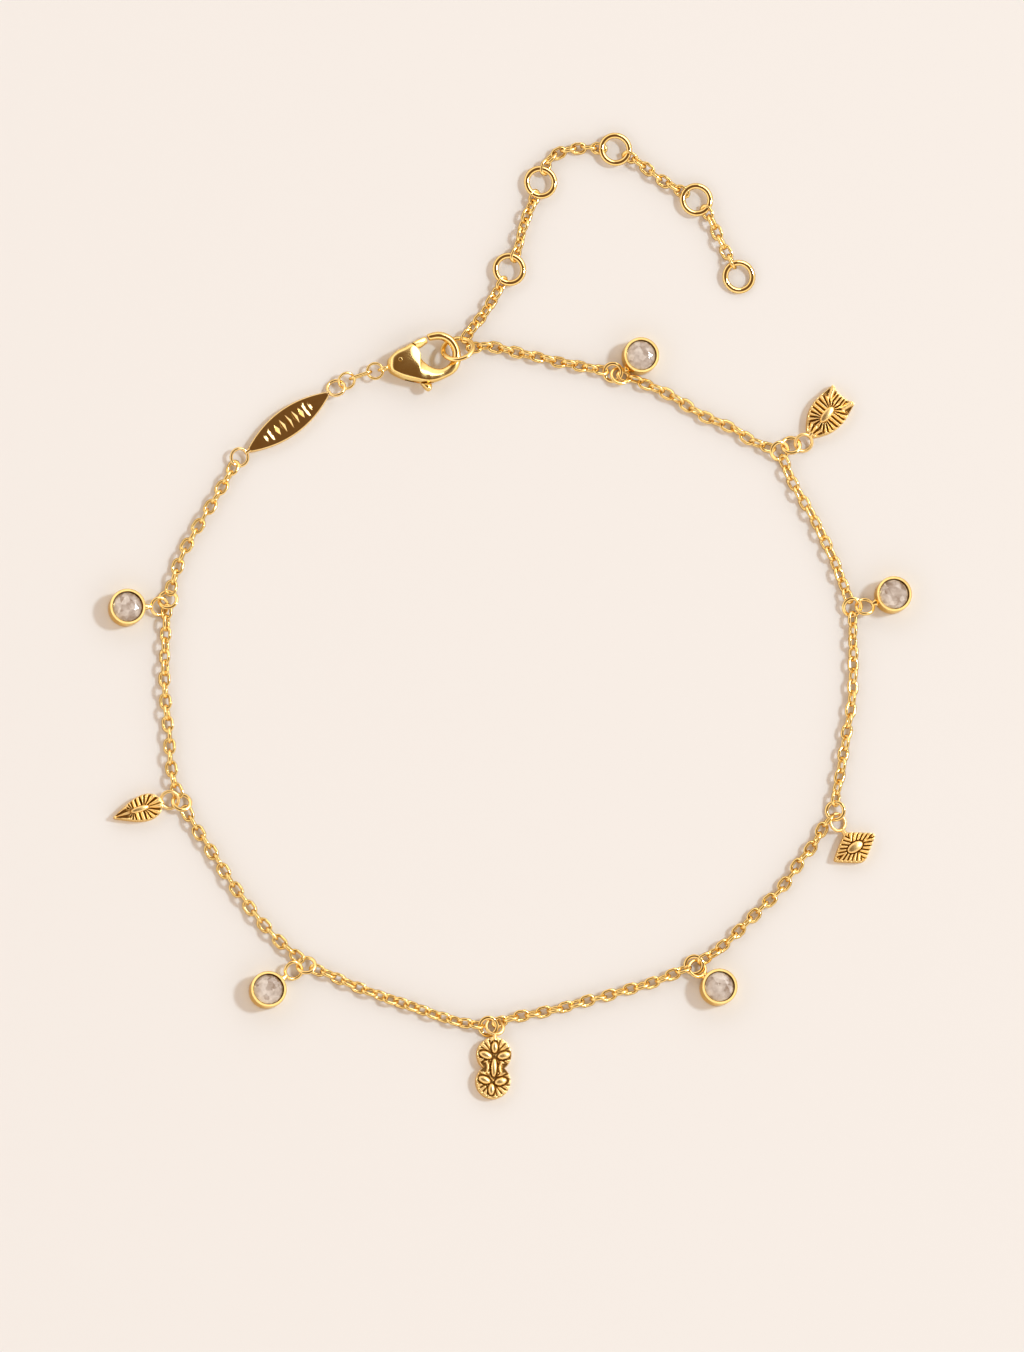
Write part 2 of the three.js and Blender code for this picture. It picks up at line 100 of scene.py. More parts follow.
# Routes of the chain: the ring at each end, by name or by its place in the extender, and points between.
ROUTES = {
    "chain_1": ("plate", "crystal_left", [(-31.9, 13.5), (-34.3, 9.4), (-36.7, 5.0)]),
    "chain_2": ("crystal_left", "leaf",
                [(-38.4, -2.6), (-38.5, -6.7), (-38.4, -11), (-38, -14.8), (-37.6, -19.5)]),
    "chain_3": ("leaf", "crystal_low_left",
                [(-35.6, -24), (-32.8, -28.3), (-30.4, -31.8), (-28.7, -34.1), (-26.8, -36.3),
                 (-25, -37.9)]),
    "chain_4": ("crystal_low_left", "flower",
                [(-20.1, -40.9), (-17.3, -42.1), (-11.7, -44), (-7.6, -45.3), (-5.2, -45.9)]),
    "chain_5": ("flower", "crystal_low_right",
                [(0.1, -45.2), (4.3, -44.3), (8.2, -43.2), (12.3, -42), (16, -40.8), (18.5, -39.7)]),
    "chain_6": ("crystal_low_right", "rhombus",
                [(23.4, -36.8), (27, -33.2), (30.1, -30.1), (32.2, -27.1), (33.8, -25), (35, -22.9)]),
    "chain_7": ("rhombus", "crystal_right",
                [(36.2, -19.6), (36.8, -16.7), (37.4, -12.8), (38, -9), (38.2, -4.5)]),
    "chain_8": ("crystal_right", "pear", [(36.9, 4.5), (35.4, 8.1), (33.6, 11.6), (31.6, 15)]),
    "chain_9": ("pear", "crystal_top",
                [(27.2, 19.6), (25.1, 20.9), (21.3, 22.5), (18.1, 24.4), (14.7, 25.9)]),
    "chain_10": ("crystal_top", "catch", [(8.7, 27.4), (5.2, 28), (1.1, 28.8), (-2.6, 29.5)]),
    "extender_chain_1": ("catch", 0, [(-4.1, 31.9), (-2.7, 33.8)]),
    "extender_chain_2": (0, 1, [(0.6, 40.5), (1.3, 43.1)]),
    "extender_chain_3": (1, 2, [(4.3, 50.8), (6.7, 52)]),
    "extender_chain_4": (2, 3, [(13.9, 50.9), (16.9, 48.8)]),
    "extender_chain_5": (3, 4, [(22.1, 45), (23.7, 41.7)]),
}

# Chain links.
LINK_LENGTH = 2.04
LINK_WIDTH = 1.46
LINK_STRETCH = 1.18  # of the round link, before its ends are pulled apart
LINK_WIRE = 0.2  # radius of the wire, as for all wires here
LINK_PITCH = 1.23
LINK_ROLLS = (32, -58)  # degrees, turn about
LINK_HEIGHT = 0.66  # that the links keep each other at
LINK_OWN_HEIGHT = 0.55  # share of its height that a link has from its own roll

# How unevenly the links lie: millimetres aside, the rest in degrees.
LINK_ASIDE = 0.04
LINK_SWING = 4  # of its direction
LINK_TWIST = 6  # of its own roll
LINK_DRIFT = 8  # of the chain's roll, from one link to the next
LINK_MOST_DRIFT = 24

# Rings: radius to the middle of the wire, and radius of the wire.
RING_RADIUS = 0.97
RING_WIRE = 0.22
EXTENDER_RADIUS = 1.55
EXTENDER_WIRE = 0.33
CATCH_RADIUS = 1.67
CATCH_WIRE = 0.3

# Small rings between the plate and the clasp: half length and half width to the middle of the wire.
CLASP_LINKS = [(0.9, 0.9), (1.24, 0.6), (0.85, 0.85)]
CLASP_LINK_WIRE = 0.15

# Soldered loops of the charms and the plate.
LOOP_RADIUS = 0.95
LOOP_WIRE = 0.19
LOOP_GAP = 0.1  # between the wires of a loop and of the ring that it hangs on
LOOP_SPARE_LEAN = 2  # degrees
FLOOR_GAP = 0.02
NECK_HEIGHT = 0.37  # least height of the middle of a neck

# Cups of the crystals.
BEZEL_RADIUS = 1.98
BEZEL_HEIGHT = 2.1
BEZEL_BORE = 1.66
BEZEL_SEAT = 0.4  # height of the backing
BEZEL_FOOT = 0.2  # radius of the rounded edge of the bottom

# Facet corners of a stone: how many, radius, height, and the share of a step that they are turned by.
STONE_RADIUS = 1.6
STONE_CORNERS = [
    (8, 0.86, 1.99, 0.5), (8, 1.24, 1.87, 0), (16, STONE_RADIUS, 1.71, 0), (16, STONE_RADIUS, 1.61, 0),
    (8, 0.9, 0.95, 0), (1, 0, 0.5, 0),
]

# The plate.
PLATE_HALF_LENGTH = 5.35
PLATE_HALF_WIDTH = 1.56
PLATE_TIP = 0.3  # half width of the blunt tips
PLATE_THICKNESS = 0.9
PLATE_EDGE = 0.17  # radius of the rounded edges
PLATE_LOOPS = {"lower": -6.8, "upper": 6.6}  # places of its loops along it
PLATE_LOOP_LEAN = 26  # degrees
PLATE_NECK = 0.24  # radius
PLATE_NECK_ROOT = 0.5  # how far a neck reaches into it

# Lozenges cut into the plate: place along it, and half width.
LOZENGES = [
    (-3.0, 0.42), (-2.35, 0.55), (-1.6, 0.68), (-0.8, 0.8), (0.05, 0.88), (0.9, 0.8), (1.7, 0.68),
    (2.45, 0.55), (3.1, 0.42),
]
LOZENGE_HALF_LENGTH = 0.27
LOZENGE_DEPTH = 0.25  # share of the half width

# Outlines of the cast charms: place along the charm, and half width.
LEAF_ROWS = [(-2.8, 0.1), (-1.6, 0.68), (-0.3, 1.22), (1.0, 1.45), (2.1, 1.15), (2.75, 0.45)]
PEAR_ROWS = [(-3.1, 1.62), (-2.0, 1.8), (-0.6, 2.0), (0.9, 1.75), (2.2, 1.05), (3.0, 0.4)]
PEAR_NOTCH = -2.8  # where the end between its ears lies
PEAR_CROWN = 0.75  # half width of what lies between the ears
RHOMBUS_HALF_LENGTH = 2.0
RHOMBUS_HALF_WIDTH = 2.9
FLOWER_RADIUS = 1.9  # of its two rounds
FLOWER_CENTRE = 1.5  # from the middle to the middle of a round

# Ribs of the cast charms.
RIB_PITCH = 0.54  # on the leaf and pear charms
RHOMBUS_RIBS = 6.5  # to a side
FLOWER_RIB_ANGLE = 20  # degrees

# Heights on the cast charms.
CAST_WALL = 0.9
CAST_RIM = 1.0
GROOVE_FLOOR = 0.84
PATINA_AND_SHADE_DEEPEST = 0.94  # below this height the painted shade and patina are darkest
PATINA_AND_SHADE_CLEAR = 1.08  # above this height there is neither painted shade nor patina
BOSS_FOOT = 1.02
BOSS_RISE = 0.26

# Shares of a cast charm's outline: where the flat back ends, and from where inwards the face and the
# relief's full height lie.
CAST_BACK = 0.965
CAST_FACE = 0.972
CAST_FULL = 0.91

# Petals of the flower charm: middle, half length along the charm, half width, and turn in degrees.
FLOWER_PETALS = [
    (2.25, 0.0, 0.66, 0.38, 0), (1.35, 0.95, 0.42, 0.74, -18), (1.4, -1.06, 0.43, 0.74, 18),
    (0.0, 0.0, 1.05, 0.34, 0),
    (-1.4, 1.0, 0.42, 0.7, -18), (-1.48, -0.8, 0.43, 0.7, 18), (-2.4, 0.2, 0.66, 0.38, 0),
]

# The clasp, with the lever that turns on its pivot.
CLASP_THICKNESS = 2.2
CLASP_PIVOT = (1.5, 0.55)
CLASP_REACH = 2.33  # from the pivot to where the body ends and the gate starts
GATE_GAP = 0.06
RIVET_RADIUS = 0.24
RIVET_PLAY = 0.02
RIVET_SUNK = 0.06  # and the width of its bevel
SLOT_WIDTH = 0.5  # of the slot in the body
TONGUE_WIDTH = 0.4  # of the lever in that slot
HUB_RADIUS = 0.62
HUB_ROOM = 1.0  # radius of the room for the hub
BASE_LOOP_AT = (-0.33, 0)
BASE_LOOP_RADIUS = 0.6
BASE_LOOP_WIRE = 0.18

# Sectors round the pivot: from and to, in degrees, and how far out.
LEVER_SLOTS = [(-100, -44, 1.85), (-86, -44, 6), (-45, 80, 2.45)]
LEVER_WEB = (22, 40, 2.55)
GATE_ROOM = (2, 80, 3.6)

# Heights of what cuts right through the clasp, and of what trims such a cutter.
THROUGH = (-1, 4)
PAST_THROUGH = (-2, 5)

# Upper halves of a clasp section of unit size, from the inner edge to the outer.
CLASP_SHOULDER = [
    (1.0, 0.0), (0.98, 0.3), (0.93, 0.5), (0.84, 0.62), (0.7, 0.7), (0.5, 0.785), (0.3, 0.86),
    (0.1, 0.93), (-0.1, 0.98), (-0.4, 1.0), (-0.76, 0.96), (-0.91, 0.8), (-0.98, 0.45), (-1.0, 0.0),
]
CLASP_BLOCK = [
    (1.0, 0.0), (0.99, 0.36), (0.96, 0.58), (0.9, 0.72), (0.8, 0.81), (0.65, 0.87), (0.4, 0.93),
    (0.1, 0.98), (-0.2, 1.0), (-0.48, 0.985), (-0.72, 0.93), (-0.89, 0.77), (-0.98, 0.45), (-1.0, 0.0),
]

# Sections of the clasp: a point of the outer edge, one of the inner, lowest, highest, and the kind of
# section: a block at -1, shouldered at 0 and round at 1.
CLASP_BODY_ROWS = [
    (-0.04, -0.12, -0.04, 0.2, 0.8, 1.4, 1.0),
    (0.1, -0.22, 0.1, 0.44, 0.6, 1.6, 0.6),
    (0.28, -0.54, 0.28, 0.9, 0.26, 1.94, -0.4),
    (0.66, -0.94, 0.74, 1.28, 0.06, 2.14, -1.0),
    (1.3, -1.44, 1.45, 1.68, 0.02, 2.19, -1.0),
    (1.85, -1.76, 2.4, 1.92, 0.0, 2.2, -0.9),
    (2.3, -1.98, 3.4, 2.2, 0.0, 2.2, -0.35),
    (2.8, -2.18, 4.1, 1.45, 0.0, 2.2, 0.0),
    (3.2, -2.33, 3.84, 0.72, 0.02, 2.17, 0.0),
    (3.55, -2.44, 3.92, 0.27, 0.05, 2.12, 0.0),
    (3.9, -2.52, 4.2, -0.2, 0.1, 2.06, 0.0),
    (4.3, -2.57, 4.55, -0.63, 0.16, 2.02, 0.0),
    (4.75, -2.58, 4.95, -0.95, 0.24, 1.96, 0.0),
    (5.4, -2.52, 5.4, -1.18, 0.34, 1.91, 0.1),
    (6.1, -2.38, 6.0, -1.25, 0.46, 1.84, 0.3),
    (7.0, -2.12, 6.6, -1.05, 0.6, 1.78, 0.5),
    (7.7, -1.66, 7.1, -0.65, 0.68, 1.74, 0.8),
    (8.22, -0.85, 7.4, -0.1, 0.72, 1.71, 1.0),
    (8.42, 0.1, 7.5, 0.35, 0.74, 1.7, 1.0),
    (8.33, 1.0, 7.44, 0.85, 0.75, 1.69, 1.0),
    (7.98, 1.85, 7.18, 1.36, 0.75, 1.69, 1.0),
    (7.32, 2.48, 6.76, 1.75, 0.75, 1.69, 1.0),
    (6.5, 2.84, 6.2, 1.96, 0.76, 1.68, 1.0),
    (5.7, 2.86, 5.65, 2.0, 0.78, 1.66, 1.0),
    (5.25, 2.8, 5.36, 2.04, 0.82, 1.62, 1.0),
    (5.14, 2.7, 5.28, 2.1, 0.9, 1.54, 1.0),
]
GATE_ROWS = [
    (2.3, 1.82, 3.2, 0.95, 0.22, 2.02, -0.2),
    (2.7, 1.96, 3.6, 1.2, 0.22, 2.02, -0.2),
    (3.2, 2.16, 3.9, 1.42, 0.24, 1.99, -0.1),
    (3.8, 2.34, 4.24, 1.47, 0.32, 1.92, 0.0),
    (4.45, 2.5, 4.6, 1.62, 0.4, 1.83, 0.2),
    (4.84, 2.57, 4.92, 1.74, 0.5, 1.72, 0.4),
    (4.96, 2.52, 5.02, 1.84, 0.58, 1.64, 0.8),
]
ARM_ROWS = [
    (1.36, 0.15, 1.9, 0.2, 0.9, 1.3, 0.0),
    (2.53, -1.33, 2.85, -0.97, 0.9, 1.3, 0.0),
    (3.35, -2.62, 4.15, -2.6, 0.9, 1.3, 0.0),
    (3.5, -2.85, 4.25, -2.85, 0.9, 1.3, 0.0),
]
TAB_ROWS = [
    (3.24, -2.5, 4.46, -2.72, 0.62, 1.58, 0.5),
    (3.36, -2.7, 4.46, -2.86, 0.52, 1.68, 0.5),
    (3.52, -3.0, 4.4, -3.04, 0.46, 1.74, 0.5),
    (3.72, -3.26, 4.3, -3.26, 0.5, 1.7, 0.6),
    (3.92, -3.42, 4.12, -3.42, 0.72, 1.48, 1.0),
]


# Camera.


def add_camera():
    """Looks down from a little to the near left, through a long lens."""
    toward = Vector((-0.159, -0.159, 0.974)).normalized()
    right = Vector((0.9864, 0, 0.161))
    right = (right - right.dot(toward) * toward).normalized()
    up = toward.cross(right)
    aim = at(0.11, -7.19)
    distance = 1.5
    seen_width = 0.11264  # at the anklet
    data = bpy.data.cameras.new("camera")
    data.sensor_fit = "HORIZONTAL"
    data.sensor_width = 36
    data.lens = data.sensor_width * distance / seen_width
    data.clip_end = 10
    camera = bpy.data.objects.new("camera", data)
    bpy.context.scene.collection.objects.link(camera)
    turn = Matrix((right, up, toward)).transposed().to_4x4()
    camera.matrix_world = Matrix.Translation(aim + toward * distance) @ turn
    bpy.context.scene.camera = camera


# Places and small helpers.


def at(x, y, z=0.0):
    """A point of the layout, in metres."""
    return (Vector((x, y, z)) + SHIFT) * MM


def placed(where, heading=0.0, roll=0.0):
    """The matrix that takes a piece made in millimetres to its place."""
    turn = Matrix.Rotation(math.radians(heading), 4, "Z") @ Matrix.Rotation(math.radians(roll), 4, "X")
    return Matrix.Translation(at(*where)) @ turn @ Matrix.Scale(MM, 4)


def mesh_of(bm, name):
    """A mesh of the bmesh, which is freed."""
    mesh = bpy.data.meshes.new(name)
    bm.to_mesh(mesh)
    bm.free()
    return mesh


def finish_piece(name, bm, place, materials, nodes, body="root", angle=35):
    """Makes the bmesh, taken to its place, a piece of the anklet that stands for the given nodes."""
    bmesh.ops.transform(bm, matrix=place, verts=bm.verts)
    mesh = mesh_of(bm, name)
    for material in materials if isinstance(materials, (list, tuple)) else [materials]:
        mesh.materials.append(material)
    mesh.shade_smooth()
    if angle is not None:
        mesh.set_sharp_from_angle(angle=math.radians(angle))
    piece = bpy.data.objects.new(name, mesh)
    bpy.context.scene.collection.objects.link(piece)
    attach(piece, body)
    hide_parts(*nodes)
    return piece


def add_copy(bm, mesh, matrix):
    """Adds a placed copy of a mesh to the bmesh."""
    copy = mesh.copy()
    copy.transform(matrix)
    bm.from_mesh(copy)
    bpy.data.meshes.remove(copy)


def add_part(bm, part, matrix=STAY):
    """Adds another bmesh, which is freed, to the bmesh."""
    mesh = mesh_of(part, "part")
    mesh.transform(matrix)
    bm.from_mesh(mesh)
    bpy.data.meshes.remove(mesh)


def wire_ring(radius, wire, steps=48, sides=14, pulled=0.0, stretch=1.0):
    """A closed ring of round wire in the XY plane, in millimetres.

    Along X it is stretched, and then each half is pulled out from the middle.
    """
    bm = bmesh.new()
    section = Matrix.Translation((radius, 0, 0)) @ Matrix.Rotation(math.pi / 2, 4, "X")
    bmesh.ops.create_circle(bm, cap_ends=False, segments=sides, radius=wire, matrix=section)
    turn = Matrix.Rotation(math.pi / steps, 4, "Z")
    bmesh.ops.transform(bm, matrix=turn, verts=bm.verts)
    bmesh.ops.spin(
        bm, geom=bm.verts[:] + bm.edges[:], axis=Z_AXIS, cent=(0, 0, 0), steps=steps,
        angle=2 * math.pi, use_merge=True,
    )
    bmesh.ops.remove_doubles(bm, verts=bm.verts, dist=1e-4)
    for vert in bm.verts:
        vert.co.x = vert.co.x * stretch + math.copysign(pulled, vert.co.x)
    bmesh.ops.recalc_face_normals(bm, faces=bm.faces)
    return bm


def lathe(profile, steps=64):
    """A closed solid of revolution about Z from a list of radius and height that starts and ends on Z."""
    bm = bmesh.new()
    verts = [bm.verts.new((radius, 0, height)) for radius, height in profile]
    edges = [bm.edges.new(pair) for pair in zip(verts, verts[1:])]
    bmesh.ops.spin(
        bm, geom=verts + edges, axis=Z_AXIS, cent=(0, 0, 0), steps=steps, angle=2 * math.pi,
        use_merge=True,
    )
    bmesh.ops.remove_doubles(bm, verts=bm.verts, dist=1e-4)
    bmesh.ops.recalc_face_normals(bm, faces=bm.faces)
    return bm


def corner(middle, radius, start, end, count=5):
    """Points of a rounded corner, for a lathe profile; angles in degrees."""
    angles = [math.radians(start + (end - start) * i / count) for i in range(count + 1)]
    return [(middle[0] + radius * math.cos(a), middle[1] + radius * math.sin(a)) for a in angles]


def loft(stations, sides=None, outlines=None):
    """A closed skin over stations, each a matrix that takes a section of unit size there.

    The sections are round with that many sides, or have the given outlines, one to each station.
    """
    bm = bmesh.new()
    loops = []
    for i, station in enumerate(stations):
        count = len(outlines[i]) if outlines else sides
        verts = bmesh.ops.create_circle(bm, cap_ends=False, segments=count, radius=1)["verts"]
        if outlines:
            for vert, (x, y) in zip(verts, outlines[i]):
                vert.co = (x, y, 0)
        bmesh.ops.transform(bm, matrix=station, verts=verts)
        loops.append({edge for vert in verts for edge in vert.link_edges})
    for one, other in zip(loops, loops[1:]):
        bmesh.ops.bridge_loops(bm, edges=list(one | other))
    bmesh.ops.holes_fill(bm, edges=[edge for edge in bm.edges if edge.is_boundary], sides=0)
    bmesh.ops.recalc_face_normals(bm, faces=bm.faces)
    return bm


def section_at(point, along, half_width, half_height):
    """Matrix of an elliptical section: half_width in the plane, half_height upwards."""
    along = Vector(along).normalized()
    across = Z_AXIS.cross(along).normalized()
    lift = along.cross(across)
    turn = Matrix((across * half_width, lift * half_height, along)).transposed().to_4x4()
    return Matrix.Translation(point) @ turn


def rounded_rod(start, end, radius):
    """A level rod with domed ends, in millimetres."""
    start, end = Vector(start), Vector(end)
    along = (end - start).normalized()
    angles = [math.radians(angle) for angle in (22.5, 45, 67.5, 90)]
    places = [(start, -math.cos(angle), math.sin(angle)) for angle in angles]
    places += [(end, math.cos(angle), math.sin(angle)) for angle in reversed(angles)]
    return loft([
        section_at(middle + along * radius * out, along, radius * share, radius * share)
        for middle, out, share in places
    ], 12)


def smooth_curve(points, steps=24):
    """A fine line on a centripetal Catmull-Rom curve, and the distance along it of each of its points."""
    knots = [2 * points[0] - points[1], *points, 2 * points[-1] - points[-2]]
    fine = []
    for p0, p1, p2, p3 in zip(knots, knots[1:], knots[2:], knots[3:]):
        t0 = 0.0
        t1 = t0 + (p1 - p0).length ** 0.5
        t2 = t1 + (p2 - p1).length ** 0.5
        t3 = t2 + (p3 - p2).length ** 0.5
        for i in range(steps):
            t = t1 + (t2 - t1) * i / steps
            a1 = p0.lerp(p1, (t - t0) / (t1 - t0))
            a2 = p1.lerp(p2, (t - t1) / (t2 - t1))
            a3 = p2.lerp(p3, (t - t2) / (t3 - t2))
            b1 = a1.lerp(a2, (t - t0) / (t2 - t0))
            b2 = a2.lerp(a3, (t - t1) / (t3 - t1))
            fine.append(b1.lerp(b2, (t - t1) / (t2 - t1)))
    fine.append(points[-1])
    reach = [0.0]
    for one, other in zip(fine, fine[1:]):
        reach.append(reach[-1] + (other - one).length)
    return fine, reach


def point_on(fine, reach, distance):
    """The point and the direction at a distance along a fine line."""
    i = 0
    while i < len(reach) - 2 and reach[i + 1] < distance:
        i += 1
    share = (distance - reach[i]) / (reach[i + 1] - reach[i])
    return fine[i].lerp(fine[i + 1], share), (fine[i + 1] - fine[i]).normalized()


# Materials.

EDGE_TINT = (0.88, 0.72, 0.46, 1)  # of gold seen at a slant
WIRE_EDGE_SHADE = (0.5, 0.3, 0.11, 1)  # darker than gold's own tint: painted shade along the edges of thin wire


def new_material(name):
    """A new material, its nodes and its shader."""
    material = bpy.data.materials.new(name)
    material.use_nodes = True
    shader = material.node_tree.nodes["Principled BSDF"]
    return material, material.node_tree, shader


def noise(tree, scale, detail):
    """Soft clouds, that many to the metre."""
    coordinates = tree.nodes.new("ShaderNodeTexCoord")
    texture = tree.nodes.new("ShaderNodeTexNoise")
    texture.inputs["Scale"].default_value = scale
    texture.inputs["Detail"].default_value = detail
    tree.links.new(coordinates.outputs["Object"], texture.inputs["Vector"])
    return texture.outputs["Fac"]


def ramp(tree, value, low, high, start=0.0, end=1.0):
    """A colour between two colours as a value goes from start to end."""
    node = tree.nodes.new("ShaderNodeValToRGB")
    node.color_ramp.elements[0].position = start
    node.color_ramp.elements[1].position = end
    node.color_ramp.elements[0].color = (*low, 1)
    node.color_ramp.elements[1].color = (*high, 1)
    tree.links.new(value, node.inputs["Fac"])
    return node.outputs["Color"]


def spread(tree, value, low, high, start=0.0, end=1.0):
    """A number that goes from low to high as a value goes from start to end."""
    node = tree.nodes.new("ShaderNodeMapRange")
    node.inputs["From Min"].default_value = start
    node.inputs["From Max"].default_value = end
    node.inputs["To Min"].default_value = low
    node.inputs["To Max"].default_value = high
    tree.links.new(value, node.inputs["Value"])
    return node.outputs["Result"]


def bump(tree, shader, height, distance):
    """Lets a shader's surface rise and fall by a distance, in metres."""
    node = tree.nodes.new("ShaderNodeBump")
    node.inputs["Distance"].default_value = distance
    node.inputs["Strength"].default_value = 0.5
    tree.links.new(height, node.inputs["Height"])
    tree.links.new(node.outputs["Normal"], shader.inputs["Normal"])


def gold(name, light, deep, roughness, wear, edge=EDGE_TINT):
    """Polished plated gold with faint unevenness: wear is how uneven its gloss is."""
    material, tree, shader = new_material(name)
    shader.inputs["Metallic"].default_value = 1
    shader.inputs["Specular Tint"].default_value = edge
    broad = noise(tree, scale=1500, detail=2)
    tone = ramp(tree, broad, deep, light, start=0.35, end=0.65)
    tree.links.new(tone, shader.inputs["Base Color"])
    fine = noise(tree, scale=9000, detail=4)
    gloss = spread(tree, fine, roughness, roughness + wear, start=0.35, end=0.65)
    tree.links.new(gloss, shader.inputs["Roughness"])
    bump(tree, shader, fine, distance=2e-6)
    return material


def cast_gold():
    """Cast gold, darker the lower its relief lies: painted shade in the grooves, with some patina, and
    bright on what stands proud.
    """
    material, tree, shader = new_material("cast_gold")
    shader.inputs["Metallic"].default_value = 1
    shader.inputs["Specular Tint"].default_value = EDGE_TINT
    patina_and_shade = tree.nodes.new("ShaderNodeAttribute")
    patina_and_shade.attribute_name = "patina_and_shade"
    # painted shade with some patina: the gold goes from its own tone down to dark brown as the relief gets
    # lower
    tone = ramp(tree, patina_and_shade.outputs["Fac"], low=(0.96, 0.7, 0.31), high=(0.34, 0.18, 0.05))
    tree.links.new(tone, shader.inputs["Base Color"])
    fine = noise(tree, scale=14000, detail=3)
    gloss = spread(tree, fine, low=0.24, high=0.4, start=0.3, end=0.7)
    tree.links.new(gloss, shader.inputs["Roughness"])
    bump(tree, shader, fine, distance=4e-6)
    return material


def added(tree, one, other):
    """The sum of two numbers."""
    node = tree.nodes.new("ShaderNodeMath")
    node.operation = "ADD"
    tree.links.new(one, node.inputs[0])
    tree.links.new(other, node.inputs[1])
    return node.outputs["Value"]


def crystal():
    """Pale smoky crystal with painted light: cells of painted reflection from its facets, painted brighter
    light on the side away from the key where light through the stone gathers, and soft clouds of its own
    tone.
    """
    material, tree, shader = new_material("crystal")
    # painted reflections: cells of lighter and darker tone standing for light off the facets inside
    painted_facet_reflections = tree.nodes.new("ShaderNodeTexVoronoi")
    painted_facet_reflections.inputs["Scale"].default_value = 1700
    painted_facet_reflections.inputs["Randomness"].default_value = 1
    coordinates = tree.nodes.new("ShaderNodeTexCoord")
    tree.links.new(coordinates.outputs["Object"], painted_facet_reflections.inputs["Vector"])
    # painted light: brighter on the side away from the key light
    painted_glow = tree.nodes.new("ShaderNodeAttribute")
    painted_glow.attribute_name = "painted_glow"
    clouds = noise(tree, scale=1300, detail=3)
    patches = spread(tree, painted_facet_reflections.outputs["Color"], low=0, high=0.6)
    lit = spread(tree, painted_glow.outputs["Fac"], low=0, high=0.3, start=-1, end=1)
    haze = spread(tree, clouds, low=0, high=0.4, start=0.3, end=0.7)
    depth = added(tree, added(tree, patches, lit), haze)
    tone = ramp(tree, depth, low=(0.34, 0.225, 0.16), high=(0.97, 0.87, 0.8), start=0.25, end=1.05)
    tree.links.new(tone, shader.inputs["Base Color"])
    shader.inputs["Transmission Weight"].default_value = 0.15
    shader.inputs["IOR"].default_value = 1.56
    shader.inputs["Roughness"].default_value = 0.04
    return material


def foil():
    """The pale backing that the stones sit on."""
    material, tree, shader = new_material("stone_backing")
    shader.inputs["Metallic"].default_value = 0.6
    fine = noise(tree, scale=3000, detail=3)
    tone = ramp(tree, fine, low=(0.40, 0.33, 0.30), high=(0.62, 0.56, 0.53), start=0.35, end=0.65)
    tree.links.new(tone, shader.inputs["Base Color"])
    shader.inputs["Roughness"].default_value = 0.35
    return material


# Chain and rings.


def chain_link():
    """One oval link; the wire is in the XY plane and the link is long along X."""
    radius = LINK_WIDTH / 2 - LINK_WIRE
    pulled = (LINK_LENGTH - LINK_WIDTH * LINK_STRETCH) / 2
    return mesh_of(wire_ring(radius, LINK_WIRE, 12, 5, pulled, LINK_STRETCH), "chain_link")


def anchor(key):
    """The middle of the ring or loop at the end of a route."""
    if key == "plate":
        return Vector((*plate_point(PLATE_LOOPS["lower"]), 0))
    if key == "catch":
        return Vector((*CATCH_AT, 0))
    if isinstance(key, int):
        return Vector((*EXTENDER_RINGS[key], 0))
    return Vector((*RINGS[key], 0))


def hooked_stop(key):
    """How far from a ring's middle the middle of the link that hooks it lies."""
    if key == "plate":
        inner = LOOP_RADIUS - LOOP_WIRE
    elif key == "catch":
        inner = CATCH_RADIUS - CATCH_WIRE
    elif isinstance(key, int):
        inner = EXTENDER_RADIUS - EXTENDER_WIRE
    else:
        inner = RING_RADIUS - RING_WIRE
    return inner - 2 * LINK_WIRE + LINK_LENGTH / 2


def add_chain(name, link, material):
    """One length of chain: links along its route, spaced as near to the pitch as its length allows."""
    start, end, via = ROUTES[name]
    points = [anchor(start), *(Vector((x, y, 0)) for x, y in via), anchor(end)]
    fine, reach = smooth_curve(points)
    first = hooked_stop(start)
    last = reach[-1] - hooked_stop(end)
    gaps = max(1, round((last - first) / LINK_PITCH))
    bm = bmesh.new()
    drift = random.uniform(-LINK_DRIFT, LINK_DRIFT)
    for i in range(gaps + 1):
        distance = first + (last - first) * i / gaps
        point, along = point_on(fine, reach, distance)
        side = Z_AXIS.cross(along)
        point = point + side * random.uniform(-LINK_ASIDE, LINK_ASIDE)
        heading = math.degrees(math.atan2(along.y, along.x)) + random.uniform(-LINK_SWING, LINK_SWING)
        drift += random.uniform(-LINK_DRIFT, LINK_DRIFT)
        drift = max(-LINK_MOST_DRIFT, min(LINK_MOST_DRIFT, drift))
        roll = LINK_ROLLS[i % 2] + drift + random.uniform(-LINK_TWIST, LINK_TWIST)
        own_height = (LINK_WIDTH / 2 - LINK_WIRE) * abs(math.sin(math.radians(roll))) + LINK_WIRE
        height = LINK_HEIGHT + (own_height - LINK_HEIGHT) * LINK_OWN_HEIGHT
        add_copy(bm, link, placed((point.x, point.y, height), heading, roll))
    return finish_piece(name + "_links", bm, STAY, material, [name], angle=None)


def add_ring(name, radius, wire, material, steps=48):
    """A fine ring in the place and plane of the frame's own ring, and no thicker than that."""
    middle, across, _ = node_axes(name)
    turn = Z_AXIS.rotation_difference(across).to_matrix().to_4x4()
    thick = max((vert.co - middle).dot(across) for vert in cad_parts[name].data.vertices) / MM
    bm = wire_ring(radius, wire, steps)
    bmesh.ops.scale(bm, vec=(1, 1, min(1, thick / wire)), verts=bm.verts)
    place = Matrix.Translation(middle) @ turn @ Matrix.Scale(MM, 4)
    return finish_piece(name + "_wire", bm, place, material, [name], angle=None)


